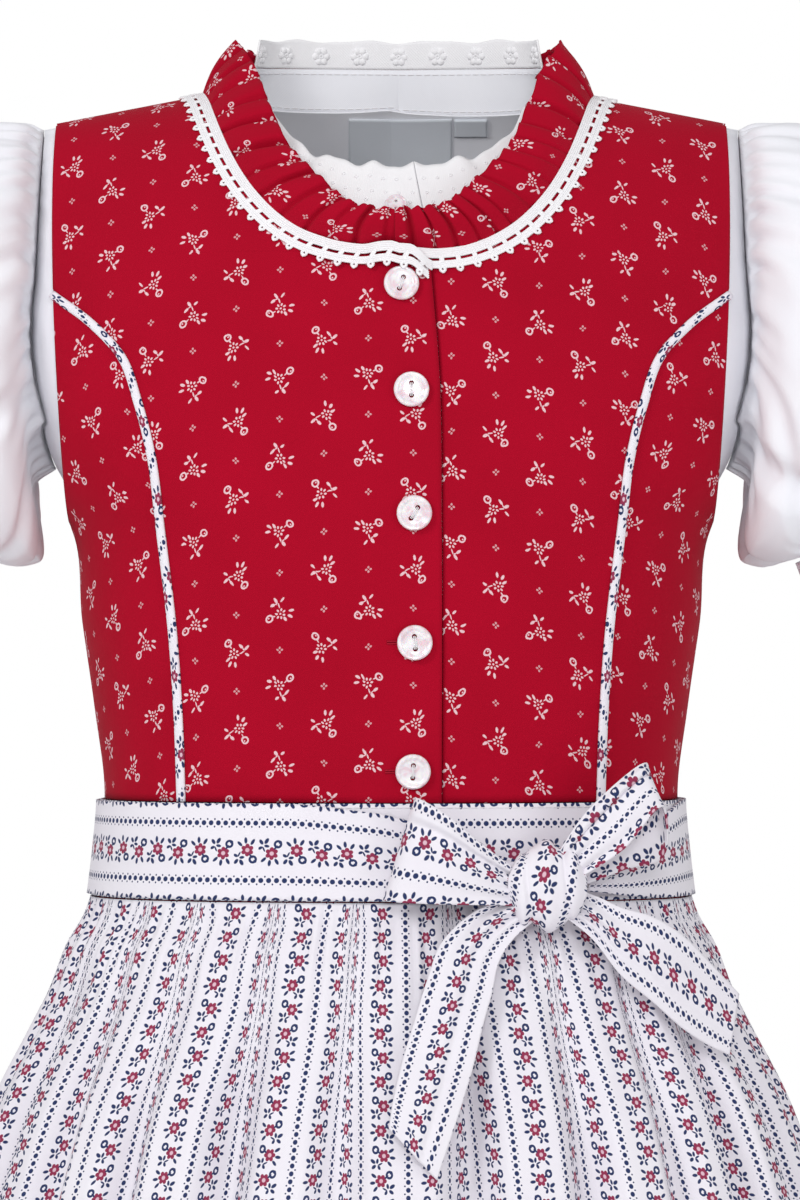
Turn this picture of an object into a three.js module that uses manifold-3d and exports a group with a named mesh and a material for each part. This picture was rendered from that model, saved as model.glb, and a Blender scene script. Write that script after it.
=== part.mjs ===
// A child's dirndl with its blouse and apron, filled out as if worn, with no wearer.
// Millimetres, +Z up, +X to the wearer's left, the front faces -Y.
// The origin lies between the shoulders, level with the shoulder seams at the neck.
import * as THREE from 'three';
import { mergeVertices } from 'three/addons/utils/BufferGeometryUtils.js';
import Module from 'manifold-3d';

const wasm = await Module();
wasm.setup();

// ---------- cloth and seams ----------
const BODICE_CLOTH = 1.2;
const SKIRT_CLOTH = 1.5;
const BLOUSE_CLOTH = 1.0;
const TIE_CLOTH = 1.2;
const LACE_CLOTH = 1.0;
const SEAM_GAP = 0.3;
const half = SEAM_GAP / 2;

// ---------- the form that the bodice is cut to ----------
// half: half width of the form, front and back: its depth before and behind the side seam.
const BODY = [
  { z: 40, half: 157, front: 88, back: 84 },
  { z: -50, half: 157, front: 88, back: 84 },
  { z: -100, half: 155, front: 88, back: 84 },
  { z: -130, half: 150, front: 88, back: 83 },
  { z: -150, half: 144, front: 88, back: 82 },
  { z: -166, half: 136, front: 88, back: 81 },
  { z: -176, half: 130, front: 87.5, back: 80 },
  { z: -215, half: 125, front: 86, back: 76 },
  { z: -250, half: 120, front: 83.5, back: 73 },
  { z: -286, half: 116, front: 81, back: 70.5 },
  { z: -305, half: 117.5, front: 82, back: 72 },
  { z: -330, half: 120.5, front: 84, back: 74 },
];
const BODY_ROUNDNESS = 2.4;
const SHOULDER_TOP = 13.1;
const SHOULDER_SLOPE = 0.192;
const SHOULDER_DROP = 190; // the depth is full this far below the shoulder line
const WAIST_Z = -286;
const NECK_X = 3; // the neckline sits this far to the wearer's left

// ---------- neckline of the bodice, in plan, from centre front to centre back ----------
const NECK_PLAN = [
  { h: 0, y: -71.9 },
  { h: 14, y: -71.1 },
  { h: 28, y: -69 },
  { h: 45, y: -63.6 },
  { h: 58, y: -55.6 },
  { h: 67, y: -45.6 },
  { h: 72.5, y: -35 },
  { h: 77, y: -19.8 },
  { h: 80, y: 0 }, // at the shoulder seam
  { h: 78, y: 11 },
  { h: 70, y: 20 },
  { h: 54, y: 28.5 },
  { h: 28, y: 36 },
  { h: 0, y: 40.1 },
];

// ---------- skirt and apron: outer line of the apron's folds ----------
const DRAPE = [
  { z: -286, half: 116.6, front: 81.8, back: 71.3, round: 2.4 },
  { z: -325, half: 121.6, front: 85.2, back: 75.2, round: 2.4 },
  { z: -332, half: 124, front: 88, back: 78, round: 2.35 },
  { z: -345, half: 131.5, front: 95, back: 86, round: 2.3 },
  { z: -365, half: 139.5, front: 103, back: 94, round: 2.25 },
  { z: -380, half: 147, front: 110, back: 101, round: 2.2 },
  { z: -405, half: 160, front: 122, back: 112, round: 2.15 },
  { z: -446, half: 175, front: 137, back: 127, round: 2.1 },
  { z: -500, half: 192, front: 153, back: 143, round: 2.1 },
  { z: -560, half: 210, front: 170, back: 160, round: 2.1 },
  { z: -630, half: 229, front: 189, back: 178, round: 2.1 },
  { z: -700, half: 245, front: 205, back: 194, round: 2.1 },
];
const APRON_TOP = -325.4;
const APRON_HEM = -660;
const SKIRT_TOP = -286.6;
const SKIRT_HEM = -700;
const APRON_EDGE = 106; // degrees from the centre front
const SKIRT_INSET = 3; // the skirt's outer face, inside the apron's outer face

// One row for each valley: where it lies at the waist and at the hem (degrees from the
// centre front, wearer's left positive), how deep it is at the hem (mm), how wide (degrees).
const VALLEYS = [
  { waist: -171, hem: -172, depth: 20, width: 11 },
  { waist: -157, hem: -156, depth: 15, width: 10 },
  { waist: -143, hem: -141, depth: 19, width: 11 },
  { waist: -128, hem: -127, depth: 16, width: 10 },
  { waist: -115, hem: -114, depth: 18, width: 10 },
  { waist: -98, hem: -98.5, depth: 17, width: 11 },
  { waist: -82, hem: -82.5, depth: 15, width: 11 },
  { waist: -67, hem: -70, depth: 18, width: 11 },
  { waist: -52, hem: -55, depth: 15, width: 10 },
  { waist: -38, hem: -41, depth: 16, width: 9 },
  { waist: -21, hem: -27, depth: 24, width: 11 },
  { waist: -6, hem: -9, depth: 15, width: 10 },
  { waist: 11, hem: 11, depth: 22, width: 11 },
  { waist: 29, hem: 27, depth: 18, width: 10 },
  { waist: 43, hem: 43, depth: 15, width: 9 },
  { waist: 55, hem: 58, depth: 19, width: 11 },
  { waist: 69, hem: 73, depth: 15, width: 10 },
  { waist: 82, hem: 82.5, depth: 18, width: 11 },
  { waist: 98, hem: 99, depth: 16, width: 10 },
  { waist: 113, hem: 113, depth: 18, width: 11 },
  { waist: 128, hem: 128, depth: 16, width: 10 },
  { waist: 143, hem: 142, depth: 19, width: 11 },
  { waist: 158, hem: 157, depth: 15, width: 10 },
  { waist: 173, hem: 173, depth: 18, width: 10 },
];
const GATHER = 0.7; // height of the fine gathers at the waist
const GATHER_END = -392; // where they have run out

// ---------- small helpers ----------
const rad = THREE.MathUtils.degToRad;
const { lerp, smoothstep } = THREE.MathUtils;
const V = (x, y, z) => new THREE.Vector3(x, y, z);
const steps = (n) => Array.from({ length: n + 1 }, (_, i) => i / n);

// Straight-line reading of a table: the value of column `key` where column `by` is `at`.
function read(table, key, at, by = 'z') {
  const down = table[0][by] > table[1][by];
  let i = 0;
  while (i < table.length - 2 && (down ? at < table[i + 1][by] : at > table[i + 1][by])) i += 1;
  const [a, b] = [table[i], table[i + 1]];
  return lerp(a[key], b[key], (at - a[by]) / (b[by] - a[by]));
}

const rounded = (s, n) => Math.max(0, 1 - Math.abs(s) ** n) ** (1 / n);
const shoulderZ = (x) => SHOULDER_TOP - SHOULDER_SLOPE * Math.abs(x);

// A point of the form: phi in degrees from the centre front, positive to the wearer's left.
function bodyPoint(phi, z) {
  const s = Math.sin(rad(phi));
  const x = read(BODY, 'half', z) * s;
  const drop = THREE.MathUtils.clamp((shoulderZ(x) - z) / SHOULDER_DROP, 0, 1);
  const depth = Math.sqrt(1 - (1 - drop) ** 2) * rounded(s, BODY_ROUNDNESS);
  const front = Math.cos(rad(phi)) >= 0;
  return V(x, depth * (front ? -read(BODY, 'front', z) : read(BODY, 'back', z)), z);
}

function normalOf(point, phi, z, dPhi = 0.5, dZ = 0.5) {
  const across = point(phi + dPhi, z).sub(point(phi - dPhi, z));
  const down = point(phi, z - dZ * 2).sub(point(phi, z));
  return down.cross(across).normalize();
}

const body = (phi, z, out = 0) => bodyPoint(phi, z)
  .addScaledVector(normalOf(bodyPoint, phi, z), out);

const phiFront = (x, z) => THREE.MathUtils.radToDeg(Math.asin(
  THREE.MathUtils.clamp(x / read(BODY, 'half', z), -1, 1)));
const phiBack = (x, z) => 180 - phiFront(x, z);

// ---------- walls of cloth ----------
// grid[row][column] holds {outer, inner} points. Cells for which skip() is true stay open.
function clothWall(grid, { closed = false, skip = () => false } = {}) {
  const rows = grid.length - 1;
  const cols = closed ? grid[0].length : grid[0].length - 1;
  const wrap = (c) => (closed ? (c + cols) % cols : c);
  const solid = (r, c) => r >= 0 && r < rows && (closed || (c >= 0 && c < cols))
    && !skip(r, wrap(c));
  const positions = [];
  const quad = (a, b, c, d) => [a, b, c, a, c, d].forEach((p) => positions.push(p.x, p.y, p.z));
  const at = (r, c, face) => grid[r][wrap(c)][face];
  for (let r = 0; r < rows; r += 1) {
    for (let c = 0; c < cols; c += 1) {
      if (!solid(r, c)) continue;
      const corner = [[r, c], [r, c + 1], [r + 1, c + 1], [r + 1, c]];
      const [a, b, d, e] = corner.map(([i, j]) => at(i, j, 'outer'));
      const [f, g, h, k] = corner.map(([i, j]) => at(i, j, 'inner'));
      quad(a, e, d, b);
      quad(f, g, h, k);
      if (!solid(r - 1, c)) quad(a, b, g, f);
      if (!solid(r + 1, c)) quad(d, e, k, h);
      if (!solid(r, c - 1)) quad(e, a, f, k);
      if (!solid(r, c + 1)) quad(b, d, h, g);
    }
  }
  return facingOut(positions);
}

// Turns the faces over where the volume comes out negative.
function facingOut(positions) {
  let volume = 0;
  const p = (i) => V(positions[i], positions[i + 1], positions[i + 2]);
  for (let i = 0; i < positions.length; i += 9) volume += p(i).dot(p(i + 3).cross(p(i + 6)));
  if (volume < 0) {
    for (let i = 0; i < positions.length; i += 9) {
      for (let k = 0; k < 3; k += 1) {
        [positions[i + k], positions[i + 3 + k]] = [positions[i + 3 + k], positions[i + k]];
      }
    }
  }
  const geometry = new THREE.BufferGeometry();
  geometry.setAttribute('position', new THREE.Float32BufferAttribute(positions, 3));
  return mergeVertices(geometry, 1e-3);
}

// Gives a sheet of points its thickness, away from side * (across x down).
function thicken(points, thickness, { closed = false, side = 1 } = {}) {
  const cols = points[0].length;
  const near = (c) => (closed ? (c + cols) % cols : THREE.MathUtils.clamp(c, 0, cols - 1));
  return points.map((row, r) => row.map((outer, c) => {
    const across = row[near(c + 1)].clone().sub(row[near(c - 1)]);
    const below = points[Math.min(r + 1, points.length - 1)][c];
    const down = below.clone().sub(points[Math.max(r - 1, 0)][c]);
    const normal = down.cross(across).normalize().multiplyScalar(side);
    return { outer, inner: outer.clone().addScaledVector(normal, -thickness) };
  }));
}

// ---------- cutting one solid by another ----------
function solid(geometry) {
  const bare = geometry.clone();
  bare.deleteAttribute('normal');
  bare.deleteAttribute('uv');
  const merged = mergeVertices(bare, 1e-4);
  return new wasm.Manifold(new wasm.Mesh({
    numProp: 3,
    vertProperties: new Float32Array(merged.attributes.position.array),
    triVerts: new Uint32Array(merged.index.array),
  }));
}

function fromSolid(manifold) {
  const mesh = manifold.getMesh();
  const geometry = new THREE.BufferGeometry();
  geometry.setAttribute('position', new THREE.BufferAttribute(mesh.vertProperties, 3));
  geometry.setIndex(new THREE.BufferAttribute(mesh.triVerts, 1));
  return geometry;
}

// ---------- the object ----------
const dirndl = new THREE.Group();
const materials = {
  red_print: new THREE.MeshStandardMaterial({ color: '#ab0726', roughness: 0.85 }),
  white_cotton: new THREE.MeshStandardMaterial({ color: '#eceaf1', roughness: 0.9 }),
  white_lace: new THREE.MeshStandardMaterial({ color: '#f4f1f3', roughness: 0.9 }),
  apron_stripe: new THREE.MeshStandardMaterial({ color: '#dcd8e2', roughness: 0.85 }),
  pearl: new THREE.MeshStandardMaterial({ color: '#e9dbe0', roughness: 0.25 }),
};

function add(name, material, geometry) {
  const mesh = new THREE.Mesh(geometry, materials[material]);
  mesh.name = name;
  dirndl.add(mesh);
  return mesh;
}

// ---------- bodice ----------
// Edges in the front view: x on the wearer's left, mirrored for the other side.
const ARMHOLE = [
  { x: 135.5, z: shoulderZ(135.5) },
  { x: 135.7, z: -15.5 },
  { x: 135.9, z: -20.5 },
  { x: 136, z: -31 },
  { x: 136, z: -52 },
  { x: 135.2, z: -84 },
  { x: 133, z: -128 },
  { x: 131, z: -160 },
];
const UNDERARM_Z = -176;
const PRINCESS_TOP = 5; // row of ARMHOLE where the princess seam starts
const PRINCESS = [
  { x: 135.2, z: -84 },
  { x: 118, z: -97 },
  { x: 106.5, z: -110 },
  { x: 100, z: -128 },
  { x: 94.5, z: -150 },
  { x: 91.3, z: -176 },
  { x: 86, z: -222 },
  { x: 84, z: -254 },
  { x: 83, z: WAIST_Z },
];
const PLACKET = [
  { x: 15, z: -68 },
  { x: 16.5, z: -84 },
  { x: 19, z: -115 },
  { x: 20, z: WAIST_Z },
];
const PLACKET_LIFT = 1.6; // the right front laps over the left one by this much
const SIDE_COLUMNS = 5;

// The form's height over a point in plan, and steps taken along its surface from there.
function onShoulders(x, y) {
  let z = shoulderZ(x);
  for (let i = 0; i < 12; i += 1) {
    const depth = read(BODY, y < 0 ? 'front' : 'back', z);
    const full = depth * rounded(x / read(BODY, 'half', z), BODY_ROUNDNESS);
    const part = Math.min(0.995, Math.abs(y) / full);
    z = shoulderZ(x) - SHOULDER_DROP * (1 - Math.sqrt(1 - part * part));
  }
  return V(x, y, z);
}

function shoulderNormal(p) {
  const h = 0.5;
  const east = onShoulders(p.x + h, p.y).sub(onShoulders(p.x - h, p.y));
  const north = onShoulders(p.x, p.y + h).sub(onShoulders(p.x, p.y - h));
  return east.cross(north).normalize();
}

// Half of the neckline as evenly spaced points; side is 1 on the wearer's left.
function neckline(side, count) {
  const plan = NECK_PLAN.map((row) => onShoulders(NECK_X + side * row.h, row.y));
  return new THREE.CatmullRomCurve3(plan).getSpacedPoints(count);
}

// A line that runs beside the neckline on the form: away > 0 lies outside it.
function besideNeck(side, count, away) {
  const seam = neckline(side, count);
  return seam.map((start, i) => {
    const along = seam[Math.min(i + 1, count)].clone().sub(seam[Math.max(i - 1, 0)]);
    along.multiplyScalar(side);
    if (i === 0 || i === count) along.set(i === 0 ? 1 : -1, 0, 0);
    const p = start.clone();
    const paces = 4;
    for (let k = 0; k < paces; k += 1) {
      const normal = shoulderNormal(p);
      const outwards = along.clone().cross(normal).normalize();
      p.addScaledVector(outwards, away / paces);
      p.copy(onShoulders(p.x, p.y));
    }
    return p;
  });
}

// Where the neckline, or a line beside it, crosses the shoulder seam.
const NECK_HALF = 80;
function neckRidge(side, away) {
  const x = NECK_X + side * (NECK_HALF + away);
  return V(x, 0, shoulderZ(x));
}

// Points of a border as {phi, z}. front: whether they lie before the side seam.
const onFront = (x, z) => ({ phi: phiFront(x, z), z });
const onBack = (x, z) => ({ phi: phiBack(x, z), z });

// A patch between four borders, each a list of {phi, z}; top and bottom run the same way.
// depths tells how far down each row lies, from 0 to 1.
function patch(top, bottom, left, right, depths = steps(left.length - 1)) {
  const cols = top.length - 1;
  const rows = left.length - 1;
  return left.map((_, r) => top.map((__, c) => {
    const [s, t] = [c / cols, depths[r]];
    const mix = (k) => lerp(top[c][k], bottom[c][k], t) + lerp(left[r][k], right[r][k], s)
      - lerp(lerp(top[0][k], top[cols][k], s), lerp(bottom[0][k], bottom[cols][k], s), t);
    return { phi: mix('phi'), z: mix('z') };
  }));
}

// A closed piece on the form from a patch. lift(phi, z) is the height of its outer face.
// Half a seam's gap is kept to the shoulder and side seams, where y is 0.
function piece(name, material, cells, thickness, where, lift) {
  const clear = (p) => {
    p.y = where === 'front' ? Math.min(p.y, -half) : Math.max(p.y, half);
    return p;
  };
  const grid = cells.map((row) => row.map(({ phi, z }) => {
    const out = lift(phi, z);
    return { outer: clear(body(phi, z, out)), inner: clear(body(phi, z, out - thickness)) };
  }));
  return add(name, material, clothWall(grid));
}

// How far down each point of a border lies, from 0 at its top to 1 at its bottom.
const depthsOf = (edge) => edge.map(({ z }) => (z - edge[0].z) / (edge[edge.length - 1].z - edge[0].z));

// Evenly reads a border table of {x, z} at `count` + 1 places.
function border(table, count) {
  const path = new THREE.CurvePath();
  for (let i = 1; i < table.length; i += 1) {
    path.add(new THREE.LineCurve3(V(table[i - 1].x, 0, table[i - 1].z), V(table[i].x, 0, table[i].z)));
  }
  return steps(count).map((t) => path.getPointAt(t));
}

const NECK_COLUMNS = 7;
const SHOULDER_COLUMNS = 3;
const shoulderPoints = (from, to, count) => steps(count).slice(1)
  .map((t) => lerp(from, to, t)).map((x) => ({ x, z: shoulderZ(x) }));

function bodiceFront(side) {
  const name = side > 0 ? 'left' : 'right';
  const neckPoints = neckline(side, 24).filter((p) => p.y < -0.01);
  const placketX = PLACKET[0].x + (side > 0 ? SEAM_GAP : 0);
  const neckX = (p) => p.x * side;
  const startX = side * placketX;
  const start = V(placketX, NECK_PLAN[0].y, PLACKET[0].z);
  const neck = new THREE.CatmullRomCurve3([start,
    ...neckPoints.filter((p) => neckX(p) > startX + 6), neckRidge(side, 0)])
    .getSpacedPoints(NECK_COLUMNS);
  const tip = ARMHOLE[0].x * side;
  const top = [...neck, ...shoulderPoints(neck[NECK_COLUMNS].x, tip, SHOULDER_COLUMNS)]
    .map(({ x, z }) => onFront(x, z));
  const armhole = ARMHOLE.slice(0, PRINCESS_TOP + 1);
  const outer = [...armhole, ...PRINCESS.slice(1)]
    .map(({ x, z }, i) => onFront(side * (x - (i > PRINCESS_TOP ? half : 0)), z));
  const rows = outer.length - 1;
  const depths = depthsOf(outer);
  const inner = depths.map((t) => lerp(PLACKET[0].z, WAIST_Z, t))
    .map((z) => onFront(read(PLACKET, 'x', z) + (side > 0 ? SEAM_GAP : 0), z));
  const bottom = steps(top.length - 1).map((s) => ({
    phi: lerp(inner[rows].phi, outer[rows].phi, s), z: WAIST_Z,
  }));
  const lap = (phi, z) => {
    if (side > 0) return 0;
    const x = body(phi, z).x;
    return PLACKET_LIFT * smoothstep(x, -22, -6);
  };
  piece(`bodice_front_${name}`, 'red_print', patch(top, bottom, inner, outer, depths),
    BODICE_CLOTH, 'front', lap);
}

function bodiceSide(side) {
  const seam = PRINCESS.map(({ x, z }) => onFront(side * (x + half), z));
  const underarmX = read(BODY, 'half', UNDERARM_Z);
  const armhole = border([...ARMHOLE.slice(PRINCESS_TOP), { x: underarmX, z: UNDERARM_Z }], SIDE_COLUMNS)
    .map(({ x, z }, i) => (i === SIDE_COLUMNS ? { phi: side * 90, z } : onFront(side * x, z)));
  const rows = seam.length - 1;
  const underarm = steps(rows).map((t) => ({ phi: side * 90, z: lerp(UNDERARM_Z, WAIST_Z, t) }));
  const bottom = steps(armhole.length - 1).map((s) => ({
    phi: lerp(seam[rows].phi, side * 90, s), z: WAIST_Z,
  }));
  piece(`bodice_side_${side > 0 ? 'left' : 'right'}`, 'red_print',
    patch(armhole, bottom, seam, underarm), BODICE_CLOTH, 'front', () => 0);
}

function bodiceBack() {
  const neck = (side) => neckline(side, 24).filter((p) => p.y > 0.01);
  const leftNeck = [neckRidge(1, 0), ...neck(1)];
  const rightNeck = [neckRidge(-1, 0), ...neck(-1)];
  const across = new THREE.CatmullRomCurve3([...leftNeck, ...rightNeck.reverse().slice(1)])
    .getSpacedPoints(8);
  const tip = ARMHOLE[0].x;
  const top = [
    ...shoulderPoints(tip, across[0].x, 3).slice(0, 2),
    ...across,
    ...shoulderPoints(across[8].x, -tip, 3).slice(0, 2),
  ];
  const borderTop = [{ x: tip, z: shoulderZ(tip) }, ...top, { x: -tip, z: shoulderZ(tip) }]
    .map(({ x, z }) => onBack(x, z));
  const sideEdge = (side) => {
    const edge = ARMHOLE.map(({ x, z }) => onBack(side * x, z));
    const down = steps(4).map((t) => ({ phi: 90, z: lerp(UNDERARM_Z, WAIST_Z, t) }))
      .map(({ phi, z }) => ({ phi: side > 0 ? phi : 360 - phi, z }));
    return [...edge, ...down];
  };
  const left = sideEdge(1);
  const right = sideEdge(-1);
  const bottom = steps(borderTop.length - 1).map((s) => ({ phi: lerp(90, 270, s), z: WAIST_Z }));
  piece('bodice_back', 'red_print', patch(borderTop, bottom, left, right, depthsOf(left)),
    BODICE_CLOTH, 'back', () => 0);
}

// ---------- piping along the princess seams ----------
const PIPING_HALF_WIDTH = 1.7;
const PIPING_HEIGHT = 1.5;
const PIPING_CLEAR = 0.35;

function piping(side) {
  const seam = PRINCESS.map(({ x, z }) => V(x, 0, z));
  const section = [
    { across: -PIPING_HALF_WIDTH, out: PIPING_CLEAR },
    { across: -PIPING_HALF_WIDTH * 0.5, out: PIPING_CLEAR + PIPING_HEIGHT },
    { across: PIPING_HALF_WIDTH * 0.5, out: PIPING_CLEAR + PIPING_HEIGHT },
    { across: PIPING_HALF_WIDTH, out: PIPING_CLEAR },
  ];
  const grid = seam.map((p, i) => {
    const [before, after] = [seam[Math.max(i - 1, 0)], seam[Math.min(i + 1, seam.length - 1)]];
    const along = after.clone().sub(before).normalize();
    return section.map(({ across, out }) => {
      const [x, z] = [p.x + along.z * across, p.z - along.x * across];
      const phi = phiFront(side * Math.min(x, 136), z);
      return {
        outer: body(phi, z, out).add(V(0, -half, 0)),
        inner: body(phi, z, PIPING_CLEAR - 0.05).add(V(0, -half, 0)),
      };
    });
  });
  add(`piping_${side > 0 ? 'left' : 'right'}`, 'apron_stripe', clothWall(grid));
}

bodiceFront(-1);
bodiceFront(1);
bodiceSide(-1);
bodiceSide(1);
bodiceBack();
piping(-1);
piping(1);

// ---------- buttons ----------
const BUTTON_RADIUS = 7;
const BUTTON_HOLE = { radius: 0.9, apart: 5 };
const BUTTON_LIFT = PLACKET_LIFT + 0.5;
const BUTTONS = [
  { x: 4, z: -81.6, turn: 90 },
  { x: 8, z: -123.4, turn: 90 },
  { x: 9.2, z: -171.6, turn: 60 },
  { x: 9.4, z: -222.6, turn: 90 },
  { x: 8.7, z: -273.5, turn: 90 },
];

// A two-hole button with a raised rim; its face looks along +Y before it is placed.
function buttonGeometry(radius, segments) {
  const profile = [
    [0, 0], [radius * 0.86, 0], [radius, 0.7], [radius, 1.7], [radius * 0.88, 2.3],
    [radius * 0.6, 1.4], [0, 1.3],
  ].map(([r, h]) => new THREE.Vector2(r, h));
  const disc = new THREE.LatheGeometry(profile, segments);
  let cut = solid(disc);
  for (const end of [-1, 1]) {
    const hole = new THREE.CylinderGeometry(BUTTON_HOLE.radius, BUTTON_HOLE.radius, 6, 6);
    hole.translate((end * BUTTON_HOLE.apart * radius) / BUTTON_RADIUS / 2, 1, 0);
    cut = cut.subtract(solid(hole));
  }
  return fromSolid(cut);
}

function placeOnForm(geometry, phi, z, out, turn) {
  const normal = normalOf(bodyPoint, phi, z);
  geometry.rotateY(rad(turn));
  geometry.applyQuaternion(new THREE.Quaternion().setFromUnitVectors(V(0, 1, 0), normal));
  const at = body(phi, z, out).add(V(0, -half, 0));
  return geometry.translate(at.x, at.y, at.z);
}

BUTTONS.forEach(({ x, z, turn }, i) => {
  const disc = buttonGeometry(BUTTON_RADIUS, 15);
  add(`button_${i + 1}`, 'pearl', placeOnForm(disc, phiFront(x, z), z, BUTTON_LIFT, turn));
});

// ---------- gathered frill round the neck ----------
// Top edge of the frill: how far along the half neckline, then half width, depth and height.
const FRILL_TOP = [
  { s: 0, h: 0, y: -80, z: -51.5 },
  { s: 0.12, h: 17, y: -76, z: -49 },
  { s: 0.25, h: 32, y: -64, z: -37 },
  { s: 0.36, h: 44, y: -53, z: -24 },
  { s: 0.44, h: 51, y: -39, z: -9 },
  { s: 0.52, h: 58, y: -22, z: 9 },
  { s: 0.6, h: 65.5, y: -3, z: 20 },
  { s: 0.7, h: 62, y: 19, z: 18 },
  { s: 0.83, h: 42, y: 33, z: 15 },
  { s: 1, h: 0, y: 40, z: 13.5 },
];
const FRILL_PLEATS = 26; // in each half
const FRILL_OPEN = 1.2; // half of the opening at the centre front
const FRILL_SWING = { base: 0.5, top: 2.1 };

function frillSheet(side) {
  const columns = FRILL_PLEATS * 2;
  const base = besideNeck(side, columns, -1.7);
  const sheet = [0, 0.5, 1].map(() => []);
  for (let c = 0; c <= columns; c += 1) {
    const s = c / columns;
    const top = V(NECK_X + side * read(FRILL_TOP, 'h', s, 's'), read(FRILL_TOP, 'y', s, 's'),
      read(FRILL_TOP, 'z', s, 's'));
    const from = base[c].clone().addScaledVector(shoulderNormal(base[c]), 0.5);
    if (c === 0) [top, from].forEach((p) => { p.x += side * FRILL_OPEN; });
    sheet.forEach((row, r) => {
      const rise = r / 2;
      const p = from.clone().lerp(top, rise);
      const bulge = Math.sin(Math.PI * rise) * 3;
      p.add(V(side * 0.6, -0.8, 0.2).multiplyScalar(p.y < 0 ? bulge : 0.2 * bulge));
      row.push(p);
    });
  }
  return sheet;
}

// Both halves in one sheet, from the wearer's right of the opening round to its left.
function neckFrill() {
  const [right, left] = [frillSheet(-1), frillSheet(1)];
  const sheet = right.map((row, r) => [...row, ...left[r].slice(0, -1).reverse()]);
  const swung = sheet.map((row, r) => row.map((p, c) => {
    const next = row[Math.min(c + 1, row.length - 1)];
    const along = next.clone().sub(row[Math.max(c - 1, 0)]);
    const up = sheet[2][c].clone().sub(sheet[0][c]);
    const normal = along.cross(up).normalize();
    const swing = lerp(FRILL_SWING.base, FRILL_SWING.top, r / 2) * (c % 2 ? 1 : -1);
    return p.clone().addScaledVector(normal, swing);
  }));
  add('neck_frill', 'red_print', clothWall(thicken(swung, LACE_CLOTH, { side: 1 })));
}
neckFrill();

// ---------- ladder lace round the neck ----------
const LACE_WIDTH = 8.2;
const LACE_SLOTS = 30; // in each half
const LACE_RAILS = [0.25, 0.42, 0.68, 1]; // edges of the rails and the slots across the lace
const LACE_RUNG = 0.24; // share of each pitch that a rung takes
const LACE_START = 0.9;
const LACE_ENDS = { left: 1.5, right: -0.5 }; // how far each end lies from the centre front
const LACE_CLEAR = 0.6; // over the bodice
const BUTTON_RISE = 3.2; // where it passes over the top button

function neckLace(side) {
  const fine = LACE_SLOTS * 12;
  const lines = LACE_RAILS.map((w) => besideNeck(side, fine, LACE_START + w * LACE_WIDTH));
  const columns = [];
  for (let i = 0; i < LACE_SLOTS; i += 1) columns.push(i, i + LACE_RUNG);
  const grid = lines.map((line) => columns.map((c) => {
    const p = line[Math.round((c * fine) / LACE_SLOTS)].clone();
    if (c === 0) p.x += side > 0 ? LACE_ENDS.left : LACE_ENDS.right;
    const normal = shoulderNormal(p);
    const seamShift = V(0, p.y > 0 ? half : -half, 0);
    const lap = PLACKET_LIFT * (1 - smoothstep(Math.abs(p.x + 4), 22, 34));
    const button = BUTTON_RISE * (1 - smoothstep(Math.abs(p.x - BUTTONS[0].x), 7, 16));
    const raise = p.y < 0 ? lap + button : 0;
    p.add(seamShift);
    return {
      outer: p.clone().addScaledVector(normal, LACE_CLEAR + raise + LACE_CLOTH),
      inner: p.clone().addScaledVector(normal, LACE_CLEAR + raise),
    };
  }));
  return { grid, skip: (r, c) => r === 1 && c % 2 === 1 };
}

for (const side of [-1, 1]) {
  const { grid, skip } = neckLace(side);
  add(`neck_lace_${side > 0 ? 'left' : 'right'}`, 'white_lace', clothWall(grid, { skip }));
}

// ---------- skirt and apron ----------
function grow(z) {
  return smoothstep(-z, -APRON_TOP - 6, 470) * 0.62 + smoothstep(-z, 430, 700) * 0.38;
}

function fold(phi, z) {
  const t = THREE.MathUtils.clamp((z - SKIRT_TOP) / (SKIRT_HEM - SKIRT_TOP), 0, 1);
  let sunk = 0;
  for (const { waist, hem, depth, width } of VALLEYS) {
    const away = ((phi - lerp(waist, hem, t) + 540) % 360) - 180;
    const reach = Math.abs(away) / (width * VALLEY_REACH);
    if (reach < 1) sunk = Math.max(sunk, depth * Math.cos((reach * Math.PI) / 2) ** 2);
  }
  return sunk * grow(z);
}

function drapePoint(phi, z) {
  const s = Math.sin(rad(phi));
  const front = Math.cos(rad(phi)) >= 0;
  const depth = read(DRAPE, front ? 'front' : 'back', z) * rounded(s, read(DRAPE, 'round', z));
  return V(read(DRAPE, 'half', z) * s, front ? -depth : depth, z);
}

function drape(phi, z, out, gather) {
  const normal = normalOf(drapePoint, phi, z, 1, 1);
  normal.z = 0;
  normal.normalize();
  const fine = gather * GATHER * (1 - smoothstep(-z, -APRON_TOP, -GATHER_END));
  return drapePoint(phi, z).addScaledVector(normal, out + fine - fold(phi, z));
}

// Columns that every cloth below the waist shares: each valley's floor and its two edges,
// the side seams and the apron's edges.
const VALLEY_REACH = 0.62; // of its width, from the floor to where it ends
const SIDE = 90;
const COLUMNS = [
  ...VALLEYS.flatMap((v) => [-1, 0, 1].map((k) => ({
    waist: v.waist + k * v.width * VALLEY_REACH, hem: v.hem + k * v.width * VALLEY_REACH,
  }))),
  ...[-APRON_EDGE, -SIDE, SIDE, APRON_EDGE].map((phi) => ({ waist: phi, hem: phi, seam: true })),
].sort((a, b) => a.waist - b.waist)
  .map((column, i) => ({ ...column, gather: column.seam ? 0 : (-1) ** i }));
const DRAPE_ROWS = [-342, -368, -405, -470, -560];

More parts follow.
